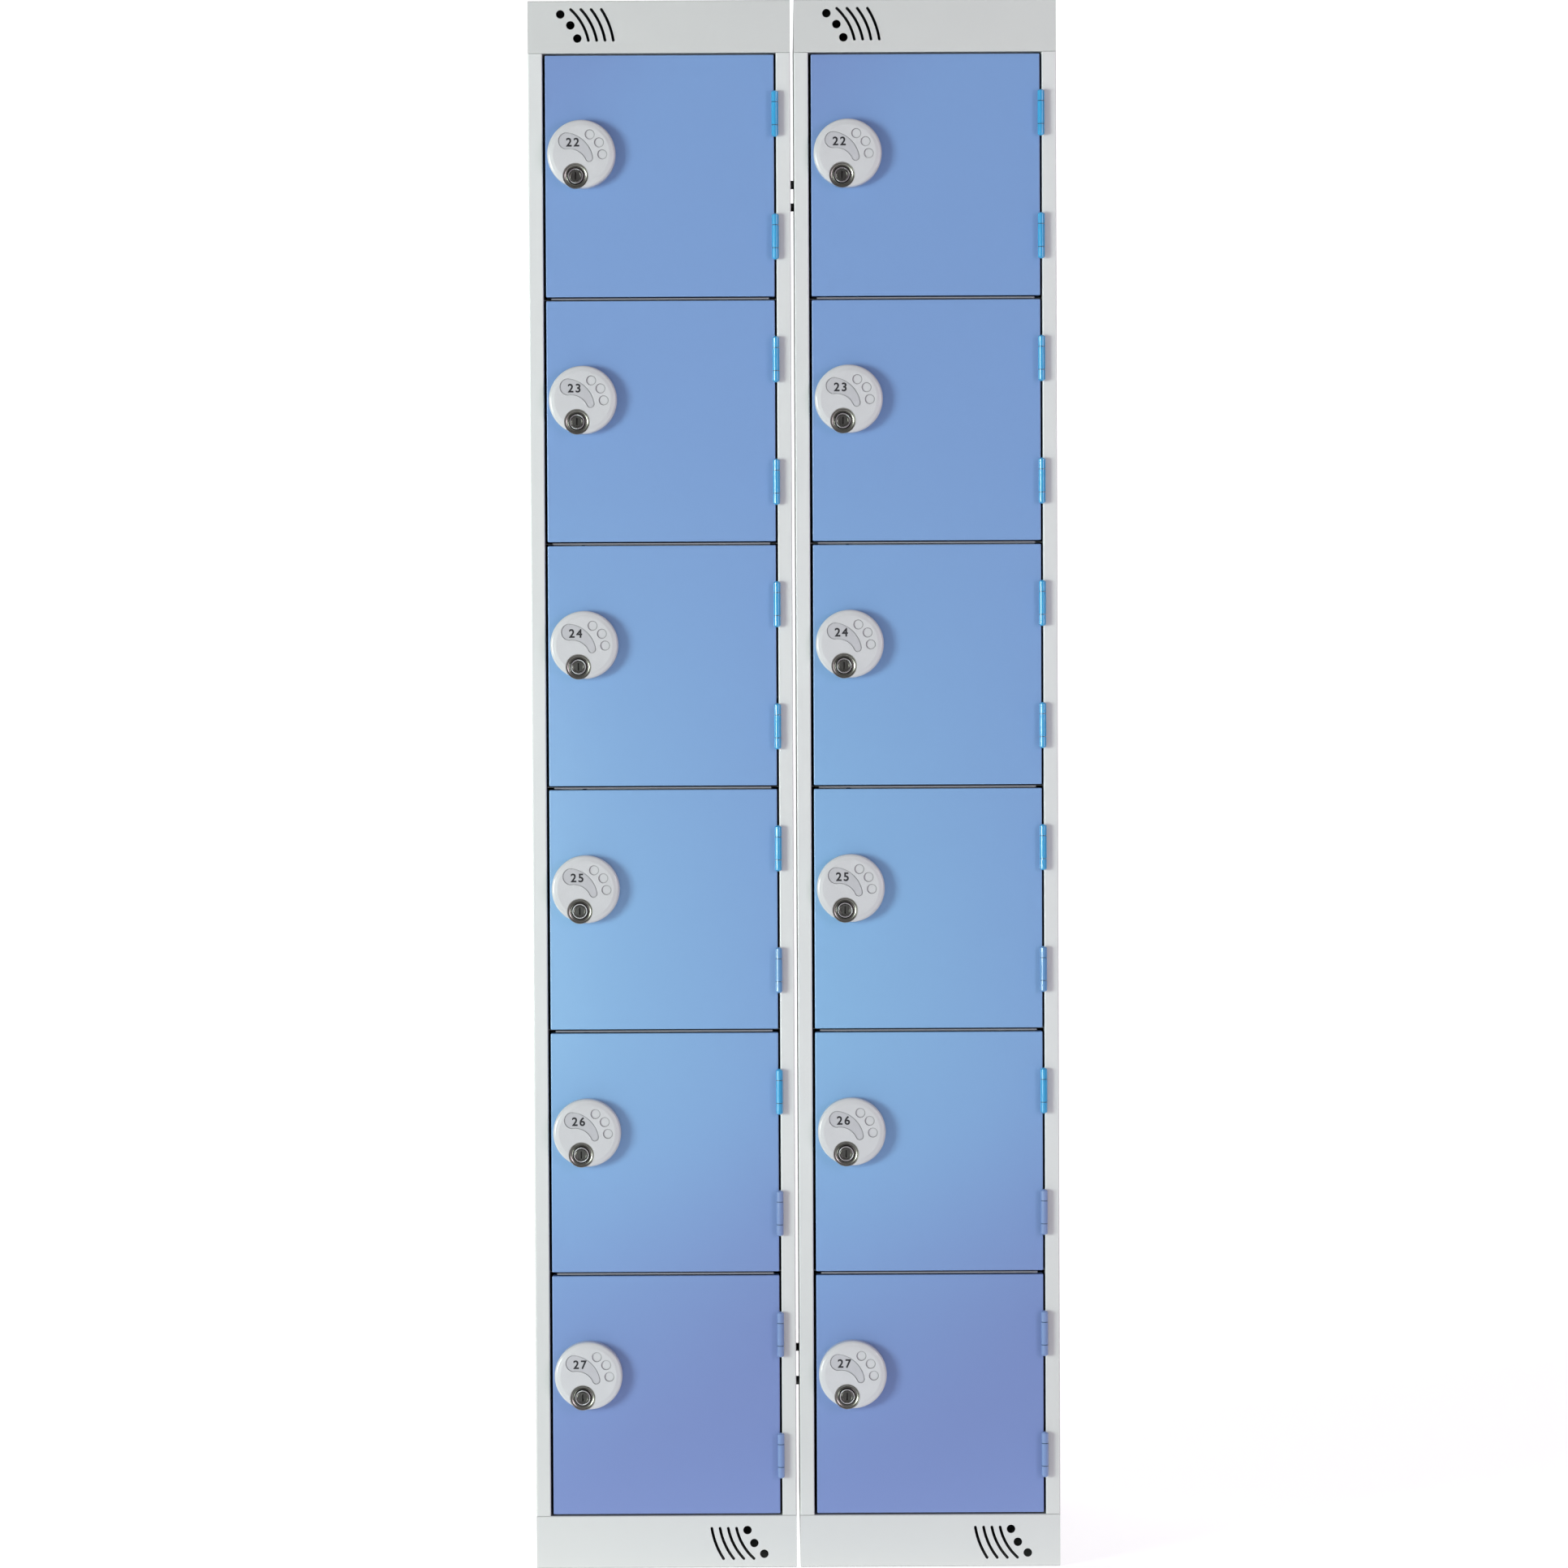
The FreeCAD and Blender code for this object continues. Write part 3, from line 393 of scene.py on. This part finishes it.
def make_cover_plastic():
    """Light grey plastic: stippled on its flat face, glossy round the rim, with painted shade in its recesses.
    """
    material, tree, shader = new_material("cover_plastic")
    place = object_place(tree)
    facing = surface_facing(tree)
    flat = spread(tree, calculate(tree, "MULTIPLY", facing["Y"], -1.0), 0.0, 1.0, 0.96, 0.995)
    drift = spread(tree, noise(tree, place, 40.0, 3.0), 0.0, 1.0)
    base = mix_colour(tree, drift, (0.585, 0.60, 0.605, 1), (0.565, 0.58, 0.585, 1))
    tree.links.new(base, shader.inputs["Base Color"])
    tree.links.new(spread(tree, flat, 0.16, 0.46, 0.0, 1.0), shader.inputs["Roughness"])
    stipple = calculate(tree, "MULTIPLY", noise(tree, place, 1500.0, 2.0), flat)
    axes = split_axes(tree, place)
    cover_low, cover_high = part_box("a_lock_cover_1")
    across = to_nearest(tree, axes["X"], (cover_low[0] + cover_high[0]) / 2, COLUMN_PITCH)
    rise = to_nearest(tree, axes["Z"], (cover_low[2] + cover_high[2]) / 2, ROW_PITCH)
    reach = distance(tree, across, rise)
    dome = calculate(tree, "MULTIPLY", smooth_step(tree, reach, 31.5 * MM, 36.5 * MM, 1.0, 0.0), flat)
    tree.links.new(bump(tree, stipple, 0.00012, bump(tree, dome, 0.0009)), shader.inputs["Normal"])
    # Painted shade: the colour darkens near the walls of the dimples, the label window and other recesses, from
    # ambient occlusion.
    sampling = (("samples", 8), ("only_local", True))
    nook = add_node(tree, "ShaderNodeAmbientOcclusion", sampling, Distance=1.8 * MM)
    painted_recess_shade = smooth_step(tree, nook.outputs["AO"], 0.40, 0.95, 0.85, 0.0)
    recess_shaded_colour = mix_colour(tree, painted_recess_shade, base, (0.07, 0.07, 0.08, 1))
    behind = calculate(tree, "GREATER_THAN", axes["Y"], FACE_Y + 0.05 * MM)
    tree.links.new(mix_colour(tree, behind, recess_shaded_colour, (0.60, 0.60, 0.58, 1)), shader.inputs["Base Color"])
    tree.links.new(behind, shader.inputs["Metallic"])
    return material


def make_label_grey():
    """The number label: mid-grey moulded plastic with a fine grain."""
    material, tree, shader = new_material("label_grey")
    place = object_place(tree)
    drift = spread(tree, noise(tree, place, 90.0, 3.0), 0.0, 1.0)
    base = mix_colour(tree, drift, (0.50, 0.51, 0.525, 1), (0.48, 0.49, 0.505, 1))
    tree.links.new(base, shader.inputs["Base Color"])
    tree.links.new(spread(tree, noise(tree, place, 700.0, 2.0), 0.36, 0.46), shader.inputs["Roughness"])
    tree.links.new(bump(tree, noise(tree, place, 1800.0, 2.0), 0.00004), shader.inputs["Normal"])
    return material


def make_ink():
    """Printed numerals: matt dark grey ink."""
    material, tree, shader = new_material("ink")
    place = object_place(tree)
    drift = spread(tree, noise(tree, place, 900.0, 3.0), 0.0, 1.0)
    base = mix_colour(tree, drift, (0.012, 0.012, 0.015, 1), (0.020, 0.020, 0.024, 1))
    tree.links.new(base, shader.inputs["Base Color"])
    tree.links.new(spread(tree, noise(tree, place, 1500.0, 2.0), 0.50, 0.62), shader.inputs["Roughness"])
    return material


def make_metal(name, colour, shade, roughness, grain_scale, grain):
    """Plated metal with fine turning marks and a little uneven gloss."""
    material, tree, shader = new_material(name)
    place = object_place(tree)
    drift = spread(tree, noise(tree, place, 160.0, 4.0), 0.0, 1.0)
    tree.links.new(mix_colour(tree, drift, colour, shade), shader.inputs["Base Color"])
    shader.inputs["Metallic"].default_value = 1.0
    gloss = spread(tree, noise(tree, place, 500.0, 3.0), roughness - 0.04, roughness + 0.06)
    tree.links.new(gloss, shader.inputs["Roughness"])
    tree.links.new(bump(tree, noise(tree, place, grain_scale, 2.0), grain), shader.inputs["Normal"])
    return material


def make_zinc():
    """Zinc plate: a fine crystal pattern of lighter and darker patches."""
    material, tree, shader = new_material("zinc")
    place = object_place(tree)
    spangle = add_node(tree, "ShaderNodeTexVoronoi", Vector=place, Scale=350.0)
    shade = spread(tree, spangle.outputs["Color"], 0.0, 1.0, 0.0, 1.0)
    base = mix_colour(tree, shade, (0.50, 0.51, 0.52, 1), (0.66, 0.66, 0.65, 1))
    tree.links.new(base, shader.inputs["Base Color"])
    shader.inputs["Metallic"].default_value = 1.0
    tree.links.new(spread(tree, noise(tree, place, 250.0, 3.0), 0.28, 0.44), shader.inputs["Roughness"])
    tree.links.new(bump(tree, noise(tree, place, 1200.0, 2.0), 0.00003), shader.inputs["Normal"])
    return material


def make_lock_metal():
    """The plug's dark face in front of the door, and zinc plate on the cam behind it."""
    material = make_zinc()
    material.name = "lock_metal"
    tree = material.node_tree
    shader = tree.nodes["Principled BSDF"]
    base = shader.inputs["Base Color"].links[0].from_socket
    axes = split_axes(tree, object_place(tree))
    in_front = calculate(tree, "LESS_THAN", axes["Y"], FACE_Y)
    tree.links.new(mix_colour(tree, in_front, base, (0.11, 0.11, 0.10, 1)), shader.inputs["Base Color"])
    return material


def make_fixing_metal():
    """Zinc plate on the bolts and nuts, and white nylon on the spacers between the columns."""
    material = make_zinc()
    material.name = "fixing_metal"
    tree = material.node_tree
    shader = tree.nodes["Principled BSDF"]
    base = shader.inputs["Base Color"].links[0].from_socket
    axes = split_axes(tree, object_place(tree))
    between = calculate(tree, "LESS_THAN", calculate(tree, "ABSOLUTE", axes["X"]), 2.01 * MM)
    tree.links.new(mix_colour(tree, between, base, (0.80, 0.80, 0.78, 1)), shader.inputs["Base Color"])
    tree.links.new(calculate(tree, "SUBTRACT", 1.0, between), shader.inputs["Metallic"])
    return material


def make_rubber():
    """The door buffers' matt black rubber."""
    material, tree, shader = new_material("rubber")
    place = object_place(tree)
    drift = spread(tree, noise(tree, place, 300.0, 3.0), 0.0, 1.0)
    base = mix_colour(tree, drift, (0.012, 0.012, 0.013, 1), (0.022, 0.022, 0.023, 1))
    tree.links.new(base, shader.inputs["Base Color"])
    tree.links.new(spread(tree, noise(tree, place, 900.0, 2.0), 0.70, 0.85), shader.inputs["Roughness"])
    tree.links.new(bump(tree, noise(tree, place, 2500.0, 2.0), 0.00004), shader.inputs["Normal"])
    return material


MATERIALS = {
    "frame": make_frame_paint("frame_paint", FRAME_GREYS),
    "side": make_frame_paint("lit_side_paint", LIT_SIDE_GREYS),
    "shelf": make_shelf_paint(),
    "door": make_door_paint(),
    "hinge": make_hinge_paint(),
    "cover": make_cover_plastic(),
    "label": make_label_grey(),
    "ink": make_ink(),
    "nickel": make_metal("nickel", (0.40, 0.40, 0.36, 1), (0.31, 0.31, 0.27, 1), 0.34, 2500.0, 0.00001),
    "chrome": make_metal("chrome", (0.78, 0.78, 0.77, 1), (0.72, 0.72, 0.71, 1), 0.10, 2500.0, 0.000005),
    "black": make_metal("black_steel", (0.025, 0.025, 0.028, 1), (0.04, 0.04, 0.042, 1), 0.35, 1800.0, 0.00001),
    "plug": make_metal("plug_steel", (0.13, 0.13, 0.115, 1), (0.09, 0.09, 0.08, 1), 0.28, 1800.0, 0.00002),
    "lock": make_lock_metal(),
    "fixings": make_fixing_metal(),
    "rubber": make_rubber(),
}


def dress_frame():
    """Gives each CAD node its material."""
    by_word = (
        ("lock_cover", "cover"),
        ("_lock_", "lock"),
        ("_door_", "door"),
        ("hinge", "hinge"),
        ("buffers", "rubber"),
        ("fixings", "fixings"),
        ("_side", "side"),
        ("_shelf_", "shelf"),
    )
    for name, node in frame["nodes"].items():
        key = next((material for word, material in by_word if word in name), "frame")
        for slot in node.material_slots:
            slot.material = MATERIALS[key]


# The pieces on each door, in millimetres. The label and the numerals are placed from the cover's middle.

LABEL_CORNERS = {"big": (-16.6, 14.6), "tip": (9.0, -4.8)}
LABEL_RADII = {"big": 8.75, "tip": 3.75}
LABEL_BOW = 5.2
LABEL_BEVEL = 0.25
NUMBER_PLACE = (-9.7, 13.2)
LABEL_FLOOR = 12.5
LABEL_TOP = 12.95


def label_outline():
    """The tapered, bowed outline of the label, in its window's middle line, from one round end to the other."""
    start = Vector((*LABEL_CORNERS["big"], 0))
    end = Vector((*LABEL_CORNERS["tip"], 0))
    chord = end - start
    across = Vector((-chord.y, chord.x, 0)).normalized()
    half = chord.length / 2
    radius = (half**2 + LABEL_BOW**2) / (2 * LABEL_BOW)
    middle = start + chord / 2 + across * LABEL_BOW
    centre = middle - across * radius
    widths = (LABEL_RADII["big"], (LABEL_RADII["big"] + LABEL_RADII["tip"]) / 2, LABEL_RADII["tip"])
    places = (start, middle, end)
    outer = [place + (place - centre).normalized() * width for place, width in zip(places, widths)]
    inner = [place - (place - centre).normalized() * width for place, width in zip(places, widths)]
    start_cap = start + (start - middle).normalized() * LABEL_RADII["big"]
    end_cap = end + (end - middle).normalized() * LABEL_RADII["tip"]
    return (
        arc_points(outer[0], outer[1], outer[2], 28)
        + arc_points(outer[2], end_cap, inner[2], 14)
        + arc_points(inner[2], inner[1], inner[0], 28)
        + arc_points(inner[0], start_cap, outer[0], 20)
    )


def trace_widened(mesh, reach, step):
    """The outline of the flat figures in a mesh, widened by a reach, traced on a grid and filled."""
    flat = bmesh.new()
    flat.from_mesh(mesh)
    bmesh.ops.remove_doubles(flat, verts=flat.verts, dist=0.001)
    bmesh.ops.triangulate(flat, faces=flat.faces)
    edges = numpy.array([[v.co.xy for v in edge.verts] for edge in flat.edges if edge.is_boundary])
    triangles = numpy.array([[v.co.xy for v in face.verts] for face in flat.faces])
    flat.free()
    margin = reach + 2 * step
    low_corner, high_corner = edges.min((0, 1)) - margin, edges.max((0, 1)) + margin
    lines = [numpy.arange(low_corner[k], high_corner[k], step) for k in range(2)]
    grid = numpy.stack(numpy.meshgrid(*lines, indexing="ij"), -1)
    nearest = numpy.full(grid.shape[:2], numpy.inf)
    for start, end in edges:
        along = end - start
        share = numpy.clip((grid - start) @ along / (along @ along), 0, 1)[..., None]
        nearest = numpy.minimum(nearest, numpy.linalg.norm(grid - start - share * along, axis=-1))
    inside = numpy.zeros(nearest.shape, bool)
    for corners in triangles:
        turns = []
        for one, other in zip(corners, numpy.roll(corners, -1, 0)):
            across = numpy.array([one[1] - other[1], other[0] - one[0]])
            turns.append((grid - one) @ across)
        inside |= (numpy.min(turns, 0) >= 0) | (numpy.max(turns, 0) <= 0)
    field = numpy.where(inside, nearest, -nearest) + reach
    return fill_field(field, grid)


def fill_field(field, grid):
    """A flat bmesh over the part of a grid whose values are above zero, with its border between the points."""
    bm = bmesh.new()
    known = {}

    def vertex(key, place):
        if key not in known:
            known[key] = bm.verts.new((*place, 0))
        return known[key]

    for i in range(field.shape[0] - 1):
        for j in range(field.shape[1] - 1):
            corners = [(i, j), (i + 1, j), (i + 1, j + 1), (i, j + 1)]
            polygon = []
            for one, other in zip(corners, corners[1:] + corners[:1]):
                here, there = field[one], field[other]
                if here > 0:
                    polygon.append(vertex(one, grid[one]))
                if (here > 0) != (there > 0):
                    share = here / (here - there)
                    crossing = grid[one] * (1 - share) + grid[other] * share
                    polygon.append(vertex(tuple(sorted((one, other))), crossing))
            if polygon:
                bm.faces.new(polygon)
    return bm


NUMERAL_SIZE = 13.5
NUMERAL_REACH = 0.37
NUMERAL_SPACING = 1.27
NUMERAL_GRID = 0.16
INK_RISE = 0.04


def numeral_mesh(number):
    """A two-figure number as a thin printed layer, its middle at the origin."""
    curve = bpy.data.curves.new(f"numeral_{number}", "FONT")
    curve.body = str(number)
    curve.size = NUMERAL_SIZE
    curve.align_x = "CENTER"
    curve.align_y = "CENTER"
    curve.space_character = NUMERAL_SPACING
    text = bpy.data.objects.new("numeral_text", curve)
    bpy.context.scene.collection.objects.link(text)
    depsgraph = bpy.context.evaluated_depsgraph_get()
    thin = bpy.data.meshes.new_from_object(text.evaluated_get(depsgraph))
    bpy.data.objects.remove(text)
    bpy.data.curves.remove(curve)
    bm = trace_widened(thin, NUMERAL_REACH, NUMERAL_GRID)
    bpy.data.meshes.remove(thin)
    bmesh.ops.remove_doubles(bm, verts=bm.verts, dist=0.02)
    bmesh.ops.dissolve_limit(bm, angle_limit=math.radians(4), verts=bm.verts, edges=bm.edges)
    bmesh.ops.triangulate(bm, faces=bm.faces)
    raised = bmesh.ops.extrude_face_region(bm, geom=list(bm.faces))
    tops = [item for item in raised["geom"] if isinstance(item, bmesh.types.BMVert)]
    bmesh.ops.translate(bm, verts=tops, vec=(0, 0, INK_RISE))
    ends = [(min(v.co[k] for v in bm.verts), max(v.co[k] for v in bm.verts)) for k in range(2)]
    centre = Vector((sum(ends[0]) / 2, sum(ends[1]) / 2, 0))
    bmesh.ops.translate(bm, verts=bm.verts, vec=-centre)
    bmesh.ops.rotate(bm, verts=bm.verts, matrix=Matrix.Rotation(math.pi / 2, 3, "X"))
    return finish_mesh(bm, f"number_{number}")


ROSETTE = [
    (14.5, 9.0),
    (14.5, 12.8),
    (14.4, 13.0),
    (14.1, 13.0),
    (13.9, 12.85),
    (12.7, 11.9),
    (12.6, 11.6),
    (12.45, 11.55),
    (10.6, 10.3),
    (10.45, 10.5),
    (10.2, 10.6),
    (9.95, 10.5),
    (9.8, 10.2),
    (9.8, 7.6),
    (14.5, 7.6),
]
COLLAR = [
    (9.55, 7.8),
    (9.55, 12.2),
    (9.4, 12.45),
    (9.1, 12.55),
    (8.5, 12.55),
    (8.5, 12.33),
    (9.25, 12.33),
    (9.25, 7.8),
]
LOCK_RING = [
    (8.6, 12.33),
    (8.6, 12.8),
    (8.4, 13.05),
    (8.0, 13.15),
    (7.5, 13.05),
    (7.25, 12.75),
    (7.18, 12.33),
]
PLUG_FACE = [
    (6.85, 12.62),
    (6.75, 12.9),
    (6.4, 13.1),
    (6.0, 13.12),
    (5.7, 12.95),
    (5.5, 12.7),
    (5.3, 12.62),
]


def dress_doors():
    """The label, numerals and lock trim of every door."""
    label = plate_mesh("label", label_outline(), LABEL_FLOOR, LABEL_TOP, LABEL_BEVEL)
    rosette = revolved_mesh("rosette", ROSETTE)
    collar = revolved_mesh("lock_collar", COLLAR)
    ring = revolved_mesh("lock_ring", LOCK_RING)
    face = revolved_mesh("plug_face", PLUG_FACE)
    numerals = [numeral_mesh(FIRST_NUMBER + row) for row in range(ROWS)]
    for column in COLUMNS:
        for row in range(1, ROWS + 1):
            tag = f"{column}{row}"
            door, lock_body = f"door_{tag}", f"lock_{tag}"
            cover_low, cover_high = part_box(f"{column}_lock_cover_{row}")
            middle = Vector(((cover_low[0] + cover_high[0]) / 2, FACE_Y, (cover_low[2] + cover_high[2]) / 2))
            lock = Vector(joints[f"lock_{tag}_turn"]["pos_m"])
            add_piece(f"label_{tag}", label, MATERIALS["label"], middle, door)
            number_place = middle + Vector((NUMBER_PLACE[0], -LABEL_TOP, NUMBER_PLACE[1])) * MM
            add_piece(f"number_{tag}", numerals[row - 1], MATERIALS["ink"], number_place, door)
            add_piece(f"rosette_{tag}", rosette, MATERIALS["nickel"], lock, door)
            add_piece(f"lock_collar_{tag}", collar, MATERIALS["black"], lock, door)
            add_piece(f"lock_ring_{tag}", ring, MATERIALS["chrome"], lock, door)
            add_piece(f"plug_face_{tag}", face, MATERIALS["plug"], lock, lock_body)


# The stage, the lights and the camera.

CAMERA_DISTANCE = 5.0
CAMERA_HEIGHT = 1.04
AIM_HEIGHT = 0.9037
FRAME_HEIGHT = 1.7995
FRAME_SHIFT = -0.0128
CAMERA_ROLL = math.radians(0.27)
SENSOR = 36.0
BACKDROP_GLOW = 0.5
GLOW_START, GLOW_FULL = -0.9, -0.15
FOOT_MARGIN = 0.5 * MM
COLUMN_WIDTH, COLUMN_DEPTH, COLUMN_GAP = 0.3, 0.45, 0.004
COLUMN_CENTRE = (COLUMN_WIDTH + COLUMN_GAP) / 2


def make_stage():
    """A pale floor that turns up into a lit backdrop far behind the locker."""
    bm = bmesh.new()
    half_width, front, back, rise, sweep = 9.0, -9.0, 3.2, 7.0, 1.6
    profile = [(front, 0.0)]
    steps = 16
    for step in range(steps + 1):
        turn = math.pi / 2 * step / steps
        profile.append((back + sweep * math.sin(turn), sweep - sweep * math.cos(turn)))
    profile.append((back + sweep, rise))
    rows = [[bm.verts.new((x, y, z)) for x in (-half_width, half_width)] for y, z in profile]
    for one, other in zip(rows, rows[1:]):
        bm.faces.new([one[0], one[1], other[1], other[0]])
    mesh = bpy.data.meshes.new("backdrop")
    bm.to_mesh(mesh)
    bm.free()
    mesh.shade_smooth()
    material, tree, shader = new_material("backdrop")
    place = object_place(tree)
    tone = mix_colour(tree, noise(tree, place, 0.8, 2.0), (0.93, 0.93, 0.93, 1), (0.90, 0.90, 0.91, 1))
    tree.links.new(tone, shader.inputs["Base Color"])
    shader.inputs["Roughness"].default_value = 0.9
    axes = split_axes(tree, place)
    glow = smooth_step(tree, axes["Y"], GLOW_START, GLOW_FULL, 0.0, BACKDROP_GLOW)
    # The floor that the two columns stand on stays dark, or it would shine out through the lower vents.
    across = calculate(tree, "ABSOLUTE", axes["X"])
    off_centre = calculate(tree, "ABSOLUTE", calculate(tree, "SUBTRACT", across, COLUMN_CENTRE))
    outside_x = calculate(tree, "SUBTRACT", off_centre, COLUMN_WIDTH / 2 - FOOT_MARGIN)
    column_middle = high.y - COLUMN_DEPTH / 2
    off_middle = calculate(tree, "ABSOLUTE", calculate(tree, "SUBTRACT", axes["Y"], column_middle))
    outside_y = calculate(tree, "SUBTRACT", off_middle, COLUMN_DEPTH / 2)
    bare = calculate(tree, "GREATER_THAN", calculate(tree, "MAXIMUM", outside_x, outside_y), 0.0)
    glow = calculate(tree, "MULTIPLY", glow, bare)
    # The narrow gap between the columns gets little other light, so its floor glows twice as brightly.
    past_gap = calculate(tree, "SUBTRACT", across, COLUMN_GAP / 2 + FOOT_MARGIN)
    in_gap = calculate(tree, "LESS_THAN", calculate(tree, "MAXIMUM", past_gap, outside_y), 0.0)
    glow = calculate(tree, "MULTIPLY_ADD", in_gap, BACKDROP_GLOW, glow)
    shader.inputs["Emission Color"].default_value = (1, 1, 1, 1)
    tree.links.new(glow, shader.inputs["Emission Strength"])
    mesh.materials.append(material)
    backdrop = bpy.data.objects.new("backdrop", mesh)
    bpy.context.scene.collection.objects.link(backdrop)


def area_light(name, place, aim, size, power, colour):
    lamp = bpy.data.lights.new(name, "AREA")
    lamp.shape = "RECTANGLE"
    lamp.size, lamp.size_y = size
    lamp.energy = power
    lamp.color = colour
    holder = bpy.data.objects.new(name, lamp)
    holder.location = place
    holder.rotation_euler = (Vector(aim) - Vector(place)).to_track_quat("-Z", "Y").to_euler()
    bpy.context.scene.collection.objects.link(holder)


def make_lights():
    middle = Vector((0, FACE_Y, HEIGHT / 2))
    area_light("key", (-5.4, -4.5, 0.95), middle, (2.2, 2.2), 366, (0.935, 1.025, 0.97))
    area_light("fill", (3.4, -3.6, 1.7), middle, (1.0, 2.2), 52, (1.0, 0.86, 1.0))
    area_light("glow", (-0.9, -4.6, 0.6), middle + Vector((0, 0, -0.3)), (0.9, 0.9), 6, (0.84, 1.0, 1.0))
    world = bpy.data.worlds.new("studio")
    world.use_nodes = True
    background = world.node_tree.nodes["Background"]
    background.inputs["Color"].default_value = (1.0, 0.90, 1.0, 1)
    background.inputs["Strength"].default_value = 0.285
    bpy.context.scene.world = world


def make_camera():
    """A long lens in front of the locker, a little above its middle."""
    lens = bpy.data.cameras.new("camera")
    lens.sensor_width = SENSOR
    lens.lens = SENSOR * CAMERA_DISTANCE / FRAME_HEIGHT
    lens.clip_end = 50
    camera = bpy.data.objects.new("camera", lens)
    aim = Vector((FRAME_SHIFT, FACE_Y, AIM_HEIGHT))
    camera.location = (FRAME_SHIFT, FACE_Y - CAMERA_DISTANCE, CAMERA_HEIGHT)
    turn = (aim - camera.location).to_track_quat("-Z", "Y")
    roll = Matrix.Rotation(-CAMERA_ROLL, 4, "Z")
    camera.rotation_euler = (turn.to_matrix().to_4x4() @ roll).to_euler()
    bpy.context.scene.collection.objects.link(camera)
    bpy.context.scene.camera = camera


dress_frame()
dress_doors()
make_stage()
make_lights()
make_camera()

scene = bpy.context.scene
scene.view_settings.view_transform = "Standard"
